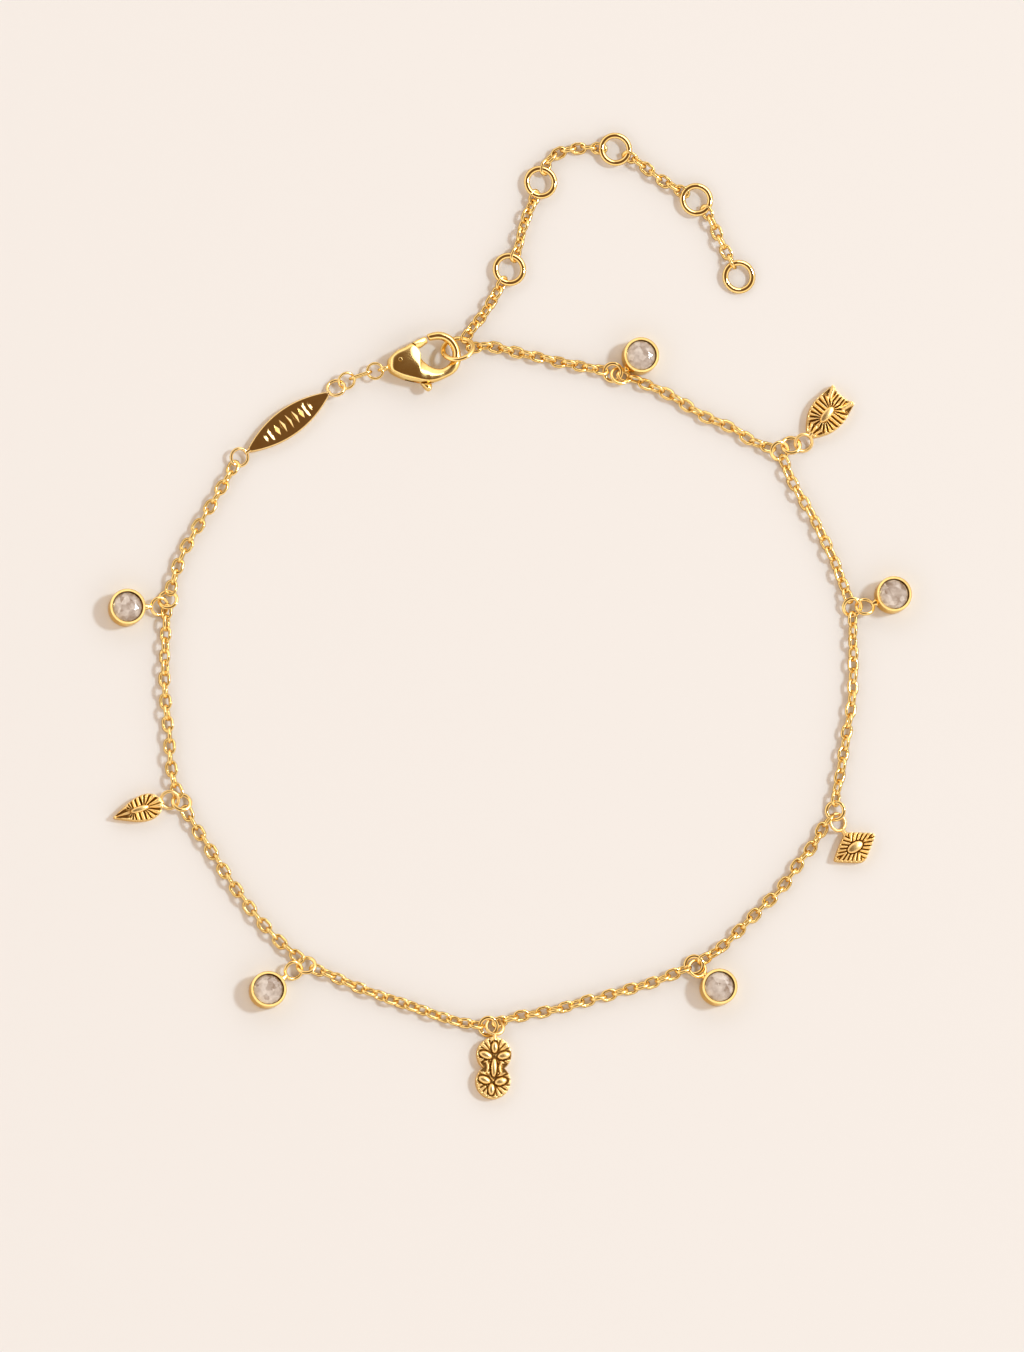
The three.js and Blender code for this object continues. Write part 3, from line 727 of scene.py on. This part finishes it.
def node_axes(name):
    """The middle of a ring in the frame, the direction across its plane and the one along its length."""
    points = [vert.co.copy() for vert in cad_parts[name].data.vertices]
    middle = sum(points, Vector()) / len(points)
    axes = numpy.linalg.svd([(point - middle)[:] for point in points], full_matrices=False)[2]
    across = Vector(axes[2])
    return middle, across if across.z > 0 else -across, Vector(axes[0])


# Loops, cups and stones.


def lean_of(apart):
    """How far a loop leans, in degrees, to go over and under a ring whose middle is that far away."""
    half = math.sqrt(LOOP_RADIUS**2 - (apart / 2) ** 2)
    return math.degrees(math.asin((2 * LOOP_WIRE + LOOP_GAP) / (2 * half))) + LOOP_SPARE_LEAN


def charm_place(name):
    """The matrix that takes a charm made with its loop on +X to its place."""
    middle, heading, _ = CHARMS[name]
    return placed(middle, heading)


def loop_point(name):
    """The middle of a charm's loop."""
    (x, y), heading, reach = CHARMS[name]
    angle = math.radians(heading)
    return x + reach * math.cos(angle), y + reach * math.sin(angle)


def add_loop(bm, name, edge, flare=0.4):
    """The soldered loop of a charm and its neck, in the charm's own millimetres; flare widens its root."""
    _, heading, reach = CHARMS[name]
    partner = PEAR_LINK if name == "pear" else RINGS[name]
    x, y = loop_point(name)
    apart = math.hypot(x - partner[0], y - partner[1])
    lean = lean_of(apart)
    height = LOOP_RADIUS * math.sin(math.radians(lean)) + LOOP_WIRE + FLOOR_GAP
    if name == "pear":
        lean = -lean
    towards = math.degrees(math.atan2(y - partner[1], x - partner[0])) - heading
    turn = Matrix.Rotation(math.radians(towards), 4, "Z") @ Matrix.Rotation(math.radians(-lean), 4, "X")
    add_part(bm, wire_ring(LOOP_RADIUS, LOOP_WIRE), Matrix.Translation((reach, 0, height)) @ turn)
    dip = LOOP_RADIUS * math.sin(math.radians(lean)) * math.sin(math.radians(towards))
    neck_height = max(NECK_HEIGHT, height - dip)
    joint = max(edge + 0.2, reach - LOOP_RADIUS)
    sections = [  # place, half width and half height, from the root to the loop
        (edge - 0.75 * flare, flare, 0.36), (edge - 0.4 * flare, 0.8 * flare, 0.36),
        (edge - 0.1, 0.45 * flare + 0.12, 0.33), (edge + 0.12, 0.2 * flare + 0.16, 0.28),
        (joint, 0.24, 0.24), (joint + 0.12, 0.16, 0.16),
    ]
    stations = [section_at((x, 0, neck_height), (1, 0, 0), half, tall) for x, half, tall in sections]
    add_part(bm, loft(stations, 20))


def add_bezel(name, metal, backing):
    """A crystal's cup: a rolled lip, a bore down to the pale backing, and the soldered loop."""
    radius, height, bore, foot = BEZEL_RADIUS, BEZEL_HEIGHT, BEZEL_BORE, BEZEL_FOOT
    lip = (radius - bore) / 2
    ridge = 0.02
    shoulder = height - ridge - lip
    wall_top = height - 0.5
    profile = [
        (0, 0),
        *corner((radius - foot, foot), foot, -90, 0),
        *corner((radius - lip, shoulder), lip, 0, 55),
        (radius - lip, height),
        *corner((radius - lip, shoulder), lip, 125, 180),
        (bore, wall_top),
        (bore, BEZEL_SEAT),
        (0, BEZEL_SEAT),
    ]
    bm = lathe(profile)
    for face in bm.faces:
        middle = face.calc_center_median()
        in_bore = math.hypot(middle.x, middle.y) < bore - 0.01
        if in_bore and BEZEL_SEAT / 2 < middle.z < wall_top + 0.05:
            face.material_index = 1
    add_loop(bm, name, radius, flare=0.9)
    nodes = [name + "_bezel"]
    return finish_piece(
        name + "_cup", bm, charm_place(name), [metal, backing], nodes, angle=40,
    )


def add_stone(name, material):
    """A round brilliant, as the hull of its facet corners."""
    middle, heading, _ = CHARMS[name]
    turn = math.radians(heading + random.uniform(0, 45))
    bm = bmesh.new()
    for count, radius, height, offset in STONE_CORNERS:
        for i in range(count):
            angle = turn + 2 * math.pi * (i + offset) / count
            bm.verts.new((radius * math.cos(angle), radius * math.sin(angle), height))
    bmesh.ops.convex_hull(bm, input=bm.verts[:])
    bmesh.ops.recalc_face_normals(bm, faces=bm.faces)
    # painted light: highest on the side away from the key light, where light through the stone gathers
    painted_glow = bm.verts.layers.float.new("painted_glow")
    for vert in bm.verts:
        vert[painted_glow] = -(vert.co.x + vert.co.y) / (STONE_RADIUS * math.sqrt(2))
    return finish_piece(name + "_gem", bm, placed(middle), material, [name + "_stone"], angle=4)


# Plate.


def plate_point(along):
    """The place that is that far from the plate's middle, along it."""
    angle = math.radians(PLATE_HEADING)
    return PLATE_AT[0] + along * math.cos(angle), PLATE_AT[1] + along * math.sin(angle)


def plate_half_width(x):
    """The plate's outline: a parabola down to its blunt tips."""
    share = min(1.0, abs(x) / PLATE_HALF_LENGTH)
    return PLATE_TIP + (PLATE_HALF_WIDTH - PLATE_TIP) * (1 - share**2)


def soft_edged(half_width, half_height, edge):
    """Outline of a unit section whose corners are rounded by edge once it is scaled."""
    points = []
    for turn, (across, up) in enumerate([(1, 1), (-1, 1), (-1, -1), (1, -1)]):
        for i in range(6):
            angle = math.pi / 2 * (turn + i / 5)
            points.append((
                across * (1 - edge / half_width) + edge / half_width * math.cos(angle),
                up * (1 - edge / half_height) + edge / half_height * math.sin(angle),
            ))
    return points


def cut_away(bm, tools):
    """Cuts the closed meshes in tools out of the bmesh, and gives a new bmesh."""
    body = bpy.data.objects.new("cut_body", mesh_of(bm, "cut_body"))
    bpy.context.scene.collection.objects.link(body)
    cutters = []
    for tool in tools:
        cutter = bpy.data.objects.new("cutter", mesh_of(tool, "cutter"))
        bpy.context.scene.collection.objects.link(cutter)
        cutters.append(cutter)
        modifier = body.modifiers.new("cut", "BOOLEAN")
        modifier.operation = "DIFFERENCE"
        modifier.solver = "EXACT"
        modifier.object = cutter
    view = bpy.context.evaluated_depsgraph_get()
    result = bmesh.new()
    result.from_mesh(body.evaluated_get(view).to_mesh())
    for thing in (body, *cutters):
        bpy.data.objects.remove(thing)
    return result


def lozenge_cutter(x, half_length, half_width, depth, top):
    """A four-sided point that cuts a lozenge into the plate's face."""
    bm = bmesh.new()
    turn = Matrix.Translation((x, 0, top)) @ Matrix.Diagonal((half_length, half_width, 1, 1))
    bmesh.ops.create_cone(
        bm, cap_ends=True, segments=4, radius1=0.0, radius2=2.0, depth=2 * depth, matrix=turn,
    )
    bmesh.ops.remove_doubles(bm, verts=bm.verts, dist=1e-4)
    bmesh.ops.recalc_face_normals(bm, faces=bm.faces)
    return bm


def add_plate(material):
    """The pointed oval plate: a rounded rim, a mirror face with a row of cut lozenges, and two loops."""
    middle = PLATE_THICKNESS / 2
    count = 30
    stations, outlines = [], []
    for i in range(-count, count + 1):
        x = PLATE_HALF_LENGTH * math.sin(math.pi / 2 * i / count)
        half_width = plate_half_width(x)
        stations.append(section_at((x, 0, middle), (1, 0, 0), half_width, middle))
        outlines.append(soft_edged(half_width, middle, PLATE_EDGE))
    bm = cut_away(loft(stations, outlines=outlines), [
        lozenge_cutter(x, LOZENGE_HALF_LENGTH, half, half * LOZENGE_DEPTH, PLATE_THICKNESS)
        for x, half in LOZENGES
    ])
    height = LOOP_RADIUS * math.sin(math.radians(PLATE_LOOP_LEAN)) + LOOP_WIRE + FLOOR_GAP
    for end, x in PLATE_LOOPS.items():
        roll = -PLATE_LOOP_LEAN if end == "upper" else PLATE_LOOP_LEAN / 2
        turn = Matrix.Rotation(math.radians(roll), 4, "X")
        add_part(bm, wire_ring(LOOP_RADIUS, LOOP_WIRE), Matrix.Translation((x, 0, height)) @ turn)
        side = math.copysign(1, x)
        root = side * (PLATE_HALF_LENGTH - PLATE_NECK_ROOT)
        add_part(bm, rounded_rod((root, 0, height), (x - side * LOOP_RADIUS, 0, height), PLATE_NECK))
    place = placed(PLATE_AT, PLATE_HEADING)
    return finish_piece("name_plate", bm, place, material, ["plate"], angle=30)


# Cast charms, made with the loop on +X. A relief gives the height over the back, in millimetres.


def smooth(value, low, high):
    """Goes softly from 0 to 1 as the value goes from low to high."""
    share = max(0.0, min(1.0, (value - low) / (high - low)))
    return share * share * (3 - 2 * share)


def ribs(across, power=0.8):
    """Rounded ribs, one to each unit, with grooves between that are wider for a higher power."""
    return abs(math.sin(math.pi * across)) ** power


def dome(x, y, half_x, half_y, turn=0.0):
    """A rounded boss: 1 in its middle, 0 at its edge, and less than 0 outside."""
    turn = math.radians(turn)
    x, y = x * math.cos(turn) + y * math.sin(turn), y * math.cos(turn) - x * math.sin(turn)
    away = (x / half_x) ** 2 + (y / half_y) ** 2
    return math.sqrt(1 - away) if away < 1 else 1 - math.sqrt(away)


def width_in(rows, x):
    """The half width at x, on a smooth line through rows of position and half width."""
    rows = sorted(rows)
    if not rows[0][0] <= x <= rows[-1][0]:
        return 0.0
    i = max(0, min(len(rows) - 2, sum(1 for row in rows if row[0] <= x) - 1))
    (x0, h0), (x1, h1) = rows[i], rows[i + 1]
    before = rows[max(0, i - 1)]
    after = rows[min(len(rows) - 1, i + 2)]
    slope0 = (h1 - before[1]) / (x1 - before[0]) * (x1 - x0)
    slope1 = (after[1] - h0) / (after[0] - x0) * (x1 - x0)
    t = (x - x0) / (x1 - x0)
    return (
        h0 * (2 * t**3 - 3 * t**2 + 1) + h1 * (3 * t**2 - 2 * t**3)
        + slope0 * (t**3 - 2 * t**2 + t) + slope1 * (t**3 - t**2)
    )


def in_leaf(x, y):
    return abs(y) < width_in(LEAF_ROWS, x)


def in_rhombus(x, y):
    return math.hypot(x, 0.2) / RHOMBUS_HALF_LENGTH + math.hypot(y, 0.3) / RHOMBUS_HALF_WIDTH < 1.03


def in_flower(x, y):
    return math.hypot(abs(x) - FLOWER_CENTRE, y) < FLOWER_RADIUS


def in_pear(x, y):
    notch = max(0.0, abs(y) - PEAR_CROWN) * 0.52
    return abs(y) < width_in(PEAR_ROWS, x) and x > PEAR_NOTCH - notch


def fan(x, y, start, end, bend):
    """Runs along a spine from start to end and on round its ends, as ribs that fan out from it do."""
    along = max(start, min(end, x))
    if x > end:
        along += bend * math.atan2(x - end, abs(y))
    if x < start:
        along -= bend * math.atan2(start - x, abs(y))
    return along


def boss_height(boss):
    """The height on the raised middle of a charm."""
    return BOSS_FOOT + BOSS_RISE * boss


def leaf_relief(x, y):
    """Ribs round a raised spine, and veins that run together towards the tip."""
    boss = dome(x - 0.15, y, 1.05, 0.36)
    if boss > 0:
        return boss_height(boss)
    tip = smooth(-x, 0.8, 1.4)
    coarse = ribs(fan(x, y, start=-0.6, end=0.6, bend=1.3) / RIB_PITCH, power=1.0)
    veins = ribs(2.6 * abs(y) / max(0.4, x + 3.1) + 0.5, power=1.6)
    return GROOVE_FLOOR + 0.34 * coarse * (1 - tip) + 0.24 * veins * tip


def rhombus_relief(x, y):
    """Ribs that run out from a raised oval to the four sides."""
    boss = dome(x, y, 0.54, 0.98)
    if boss > 0:
        return boss_height(boss)
    along, aside = x / RHOMBUS_HALF_LENGTH, y / RHOMBUS_HALF_WIDTH
    s, t = along - aside, along + aside
    across, out = (s, abs(t)) if abs(t) > abs(s) else (t, abs(s))
    rib = ribs(across / (0.45 + 0.55 * out) * RHOMBUS_RIBS / 2 + 0.5)
    return 0.86 + 0.32 * rib * smooth(-boss, 0.06, 0.2)


def flower_relief(x, y):
    """Two ribbed rounds, a pair of curved bars between them, and raised petals over both."""
    height = 0.9
    for middle, shift in ((FLOWER_CENTRE - 0.15, 0.0), (-FLOWER_CENTRE, 0.12)):
        away = math.hypot(x - middle, y - shift)
        turn = math.degrees(math.atan2(y - shift, x - middle))
        if 0.7 < away < FLOWER_RADIUS + 0.2 and abs(x) > 0.5:
            rib = ribs(turn / FLOWER_RIB_ANGLE) * smooth(away, 0.7, 1.0)
            height = max(height, 0.88 + 0.26 * rib)
    if abs(x) < 0.75:
        curve = abs(abs(y) - 0.66 - 0.5 * x * x) / 0.22
        height = max(height, 0.88 + 0.3 * max(0.0, 1 - curve**2) * smooth(-abs(x), -0.75, -0.5))
    petals = max(
        dome(x - px, y - py, half_x, half_y, turn) for px, py, half_x, half_y, turn in FLOWER_PETALS
    )
    if petals > 0:
        return 1.0 + 0.3 * petals
    return height + (GROOVE_FLOOR - height) * smooth(petals, -0.4, -0.2)


def pear_relief(x, y):
    """Ribs round a raised spine, veins at the narrow end, and a crown of two ears and plain ribs."""
    boss = dome(x + 0.05, y, 1.1, 0.5)
    if boss > 0:
        return boss_height(boss)
    rib = 0.34 * ribs(fan(x, y, start=-0.6, end=0.5, bend=1.5) / RIB_PITCH + 0.5, power=1.15)
    veins = 0.3 * ribs(3.4 * abs(y) / max(0.4, 3.9 - x) + 0.5, power=1.2)
    rib += (veins - rib) * smooth(x, 1.6, 2.0)
    ear = 0.4 * max(0.0, 1 - (abs(abs(y) - 1.1 - 0.3 * (-2.2 - x)) / 0.42) ** 2)
    between = 0.3 * ribs(y / 0.42) * smooth(PEAR_CROWN - abs(y), 0, 0.15)
    crown = smooth(-x, 1.5, 1.75)
    return GROOVE_FLOOR + rib + (max(ear, between) - rib) * crown


def outline_reach(inside, angle):
    """How far an outline reaches from its middle in a direction."""
    near, far = 0.0, 5.0
    for _ in range(20):
        middle = (near + far) / 2
        if inside(middle * math.cos(angle), middle * math.sin(angle)):
            near = middle
        else:
            far = middle
    return near


def add_charm(name, inside, relief, edge, material):
    """A cast charm: a round-edged wall on its outline, with its relief inside the rim.

    The skin starts as the flat back, goes up the wall and closes in on the middle of the face in rings.
    """
    rings = 44
    bm = bmesh.new()
    # carries the painted shade, with some patina, of the grooves
    patina_and_shade = bm.verts.layers.float.new("patina_and_shade")
    bmesh.ops.create_circle(bm, cap_ends=True, segments=360, radius=1)
    share = CAST_BACK
    for vert in bm.verts:
        vert.co *= share * outline_reach(inside, math.atan2(vert.co.y, vert.co.x))
    levels = [  # share of the outline, and height
        (0.985, 0.02), (0.996, 0.06), (1.0, 0.13), (1.0, 0.5), (1.0, CAST_WALL),
        (0.996, CAST_WALL + 0.06), (0.986, CAST_RIM),
    ]
    levels += [(CAST_FACE * (1 - i / rings), None) for i in range(rings)]
    rim = bm.edges[:]
    for next_share, level in levels:
        grown = bmesh.ops.extrude_edge_only(bm, edges=rim)["geom"]
        verts = {item for item in grown if isinstance(item, bmesh.types.BMVert)}
        rim = [
            item for item in grown
            if isinstance(item, bmesh.types.BMEdge) and item.verts[0] in verts and item.verts[1] in verts
        ]
        for vert in verts:
            x, y = vert.co.x * next_share / share, vert.co.y * next_share / share
            z = level
            if level is None:
                inside_rim = smooth(-next_share, -CAST_BACK, -CAST_FULL)
                z = CAST_RIM + (relief(x, y) - CAST_RIM) * inside_rim
                # painted shade with some patina: set from the relief's height, fading out towards the rim
                vert[patina_and_shade] = smooth(-z, -PATINA_AND_SHADE_CLEAR, -PATINA_AND_SHADE_DEEPEST) * inside_rim
            vert.co = (x, y, z)
        share = next_share
    bmesh.ops.pointmerge(bm, verts=list(verts), merge_co=(0, 0, relief(0, 0)))
    bmesh.ops.recalc_face_normals(bm, faces=bm.faces)
    add_loop(bm, name, edge)
    nodes = [name + "_charm"]
    return finish_piece(name + "_cast", bm, charm_place(name), material, nodes, angle=60)


# Clasp, made with its base at the origin and its nose on +X; the gate is on +Y.


def section_between(outer, inner, low, high):
    """Matrix of a section from a point of the outer edge to one of the inner, between two heights."""
    outer, inner = Vector((*outer, 0)), Vector((*inner, 0))
    across = (inner - outer) / 2
    turn = Matrix((across, Z_AXIS * (high - low) / 2, across.cross(Z_AXIS).normalized())).transposed()
    return Matrix.Translation((outer + inner) / 2 + Z_AXIS * (high + low) / 2) @ turn.to_4x4()


def smooth_rows(rows, count):
    """Rows of numbers with more rows between, on a smooth line."""
    full = []
    for i in range(len(rows) - 1):
        r0, r1, r2, r3 = rows[max(0, i - 1)], rows[i], rows[i + 1], rows[min(len(rows) - 1, i + 2)]
        for step in range(count):
            t = step / count
            full.append([
                0.5 * (2 * b + (c - a) * t + (2 * a - 5 * b + 4 * c - d) * t**2
                       + (3 * b - a - 3 * c + d) * t**3)
                for a, b, c, d in zip(r0, r1, r2, r3)
            ])
    full.append(list(rows[-1]))
    return full


def clasp_outline(kind):
    """Outline of a clasp section: a block at -1, shouldered at 0 and round at 1."""
    shouldered = smooth_rows(CLASP_SHOULDER, 3)
    count = len(shouldered) - 1
    circle = [(math.cos(math.pi * i / count), math.sin(math.pi * i / count)) for i in range(count + 1)]
    other = circle if kind > 0 else smooth_rows(CLASP_BLOCK, 3)
    share = min(1.0, abs(kind))
    upper = [
        (x + (ox - x) * share, y + (oy - y) * share) for (x, y), (ox, oy) in zip(shouldered, other)
    ]
    return upper + [(x, -y) for x, y in upper[-2:0:-1]]


def loft_rows(rows):
    """A skin over rows of outer point, inner point, lowest, highest and kind of section."""
    stations, outlines = [], []
    for ox, oy, ix, iy, low, high, kind in smooth_rows(rows, 5):
        stations.append(section_between((ox, oy), (ix, iy), low, high))
        outlines.append(clasp_outline(kind))
    return loft(stations, outlines=outlines)


def disc(middle, radius, low, high, steps=40):
    """An upright cylinder between two heights."""
    bm = bmesh.new()
    place = Matrix.Translation((*middle, (low + high) / 2))
    bmesh.ops.create_cone(
        bm, cap_ends=True, segments=steps, radius1=radius, radius2=radius, depth=high - low, matrix=place,
    )
    return bm


def wedge(start, end, reach, low, high):
    """A flat sector round the clasp's pivot, between two angles in degrees and two heights."""
    bm = bmesh.new()
    x, y = CLASP_PIVOT
    angle = math.radians(start)
    hub = bm.verts.new((x, y, low))
    first = bm.verts.new((x + reach * math.cos(angle), y + reach * math.sin(angle), low))
    edge = bm.edges.new((hub, first))
    bmesh.ops.spin(
        bm, geom=[hub, first, edge], axis=Z_AXIS, cent=(x, y, low), steps=16,
        angle=math.radians(end - start),
    )
    bmesh.ops.remove_doubles(bm, verts=bm.verts, dist=1e-5)
    raised = bmesh.ops.extrude_face_region(bm, geom=bm.faces[:])
    top = [item for item in raised["geom"] if isinstance(item, bmesh.types.BMVert)]
    bmesh.ops.translate(bm, verts=top, vec=(0, 0, high - low))
    bmesh.ops.recalc_face_normals(bm, faces=bm.faces)
    return bm


def clasp_place():
    """The matrix that takes a part of the clasp to its place."""
    return placed(CLASP_AT, CLASP_HEADING)


def rivet_bore():
    """What cuts the hole for the rivet."""
    return disc(CLASP_PIVOT, RIVET_RADIUS + RIVET_PLAY, *THROUGH)


def gate_line(gap=0.0):
    """What trims to the round line along which the body and the gate meet."""
    return disc(CLASP_PIVOT, CLASP_REACH + gap, *PAST_THROUGH, 96)


def middle_layer(width):
    """The lowest and highest of a layer of that width in the middle of the clasp."""
    middle = CLASP_THICKNESS / 2
    return middle - width / 2, middle + width / 2


def add_clasp_body(material):
    """The body from its base round to its nose, slotted for the lever, and its base loop."""
    low, high = middle_layer(SLOT_WIDTH)
    bm = cut_away(loft_rows(CLASP_BODY_ROWS), [
        cut_away(wedge(*GATE_ROOM, *THROUGH), [gate_line()]),
        disc(CLASP_PIVOT, HUB_ROOM, low, high),
        *(wedge(*slot, low, high) for slot in LEVER_SLOTS),
        rivet_bore(),
    ])
    upright = Matrix.Rotation(math.pi / 2, 4, "X")
    loop = wire_ring(BASE_LOOP_RADIUS, BASE_LOOP_WIRE, 40)
    add_part(bm, loop, Matrix.Translation((*BASE_LOOP_AT, CLASP_THICKNESS / 2)) @ upright)
    nodes = ["clasp_body"]
    return finish_piece("lobster_clasp", bm, clasp_place(), material, nodes, angle=40)


def add_clasp_lever(material):
    """The gate, the hub that turns on the rivet, and the arm and tab for the thumb."""
    low, high = middle_layer(TONGUE_WIDTH)
    bm = cut_away(loft_rows(GATE_ROWS), [gate_line(GATE_GAP)])
    for part in (
        cut_away(wedge(*LEVER_WEB, low, high), [rivet_bore()]),
        cut_away(disc(CLASP_PIVOT, HUB_RADIUS, low, high), [rivet_bore()]),
        loft_rows(ARM_ROWS),
        loft_rows(TAB_ROWS),
    ):
        add_part(bm, part)
    nodes = ["clasp_lever"]
    return finish_piece("clasp_gate", bm, clasp_place(), material, nodes, "lever", 40)


def add_clasp_pin(material):
    """The rivet, a little sunk, with softened rims."""
    bm = disc(CLASP_PIVOT, RIVET_RADIUS, RIVET_SUNK, CLASP_THICKNESS - RIVET_SUNK)
    rims = [edge for edge in bm.edges if abs(edge.verts[0].co.z - edge.verts[1].co.z) < 1e-6]
    bmesh.ops.bevel(
        bm, geom=rims, offset=RIVET_SUNK, affect="EDGES", segments=3, profile=0.5, material=-1,
    )
    return finish_piece("clasp_rivet", bm, clasp_place(), material, ["clasp_pin"])


def add_clasp_link(index, half_length, half_width, material):
    """One of the small rings between the plate and the clasp, in the place of the frame's own."""
    name = f"clasp_link_{index}"
    middle, across, along = node_axes(name)
    bm = wire_ring(half_width, CLASP_LINK_WIRE, 48, 12, half_length - half_width)
    turn = Matrix((along, across.cross(along), across)).transposed().to_4x4()
    place = Matrix.Translation(middle) @ turn @ Matrix.Scale(MM, 4)
    return finish_piece(name + "_wire", bm, place, material, [name], angle=None)


# Light and stage.


def add_area(name, where, size, power, color):
    """A round area light that shines on the anklet."""
    data = bpy.data.lights.new(name, "AREA")
    data.shape = "DISK"
    data.size = size
    data.energy = power
    data.color = color
    light = bpy.data.objects.new(name, data)
    bpy.context.scene.collection.objects.link(light)
    light.location = where
    light.rotation_euler = where.to_track_quat("Z", "Y").to_euler()
    return light


def add_stage():
    """A matt pale floor, just below the anklet."""
    bm = bmesh.new()
    bmesh.ops.create_grid(bm, x_segments=1, y_segments=1, size=1.2)
    mesh = mesh_of(bm, "floor")
    material, _, shader = new_material("pale_paper")
    shader.inputs["Base Color"].default_value = (0.845, 0.818, 0.815, 1)
    shader.inputs["Roughness"].default_value = 0.9
    shader.inputs["Specular IOR Level"].default_value = 0.1
    mesh.materials.append(material)
    floor = bpy.data.objects.new("floor", mesh)
    floor.location.z = -0.00002
    bpy.context.scene.collection.objects.link(floor)


def add_light():
    """A key light from the right, a softbox that shows only in reflections, and the room round them.

    The room is tan low down, pale higher up and dark brown overhead.
    """
    world = bpy.data.worlds.new("studio")
    bpy.context.scene.world = world
    world.use_nodes = True
    tree = world.node_tree
    background = tree.nodes["Background"]
    coordinates = tree.nodes.new("ShaderNodeTexCoord")
    split = tree.nodes.new("ShaderNodeSeparateXYZ")
    tree.links.new(coordinates.outputs["Generated"], split.inputs["Vector"])
    height = split.outputs["Z"]
    walls = ramp(tree, height, low=(0.5, 0.37, 0.25), high=(1.0, 0.90, 0.80), start=0.1, end=0.4)
    sky = ramp(tree, height, low=(1.0, 1.0, 1.0), high=(0.12, 0.072, 0.035), start=0.66, end=0.84)
    room = tree.nodes.new("ShaderNodeMix")
    room.data_type = "RGBA"
    room.blend_type = "MULTIPLY"
    room.inputs["Factor"].default_value = 1
    tree.links.new(walls, room.inputs["A"])
    tree.links.new(sky, room.inputs["B"])
    tree.links.new(room.outputs["Result"], background.inputs["Color"])
    background.inputs["Strength"].default_value = 1.45
    key_at = Vector((0.286, 0.075, 0.352)) * 7.8
    add_area("key_light", key_at, size=0.54, power=60, color=(0.74, 0.88, 0.95))
    softbox_at = Vector((0.44, 0.5, 0.745)) * 2
    softbox = add_area("softbox", softbox_at, size=1, power=9, color=(1.0, 0.97, 0.92))
    softbox.visible_diffuse = False
    bpy.context.scene.view_settings.view_transform = "Standard"


# Assembly.

add_camera()
add_stage()
add_light()

POLISHED = gold("polished_gold", (0.98, 0.74, 0.32), (0.94, 0.68, 0.27), roughness=0.06, wear=0.08)
# the wire and chain golds carry painted shade on their edges
WIRE_GOLD = gold("wire_gold", (0.98, 0.74, 0.32), (0.94, 0.68, 0.27), 0.05, 0.06, edge=WIRE_EDGE_SHADE)
CHAIN_GOLD = gold("chain_gold", (0.98, 0.73, 0.3), (0.93, 0.66, 0.25), 0.08, 0.07, edge=WIRE_EDGE_SHADE)
CLASP_GOLD = gold("clasp_gold", (0.97, 0.73, 0.31), (0.93, 0.67, 0.26), roughness=0.12, wear=0.05)
PLATE_GOLD = gold("plate_gold", (0.95, 0.72, 0.35), (0.9, 0.66, 0.3), roughness=0.05, wear=0.06)
CAST = cast_gold()
CRYSTAL = crystal()
BACKING = foil()

link_mesh = chain_link()
for chain in ROUTES:
    add_chain(chain, link_mesh, CHAIN_GOLD)

for i in range(1, len(EXTENDER_RINGS) + 1):
    add_ring(f"extender_ring_{i}", EXTENDER_RADIUS, EXTENDER_WIRE, WIRE_GOLD, 64)
add_ring("catch_ring", CATCH_RADIUS, CATCH_WIRE, WIRE_GOLD, 64)
for name in RINGS:
    add_ring(name + "_ring", RING_RADIUS, RING_WIRE, WIRE_GOLD)
add_ring("pear_link", RING_RADIUS, RING_WIRE, WIRE_GOLD)

for name in CHARMS:
    if name.startswith("crystal"):
        add_bezel(name, POLISHED, BACKING)
        add_stone(name, CRYSTAL)

add_charm("leaf", in_leaf, leaf_relief, edge=2.75, material=CAST)
add_charm("rhombus", in_rhombus, rhombus_relief, edge=1.9, material=CAST)
add_charm("flower", in_flower, flower_relief, edge=3.35, material=CAST)
add_charm("pear", in_pear, pear_relief, edge=3.0, material=CAST)

add_plate(PLATE_GOLD)
add_clasp_body(CLASP_GOLD)
add_clasp_lever(CLASP_GOLD)
add_clasp_pin(CLASP_GOLD)
for i, (half_length, half_width) in enumerate(CLASP_LINKS, 1):
    add_clasp_link(i, half_length, half_width, WIRE_GOLD)
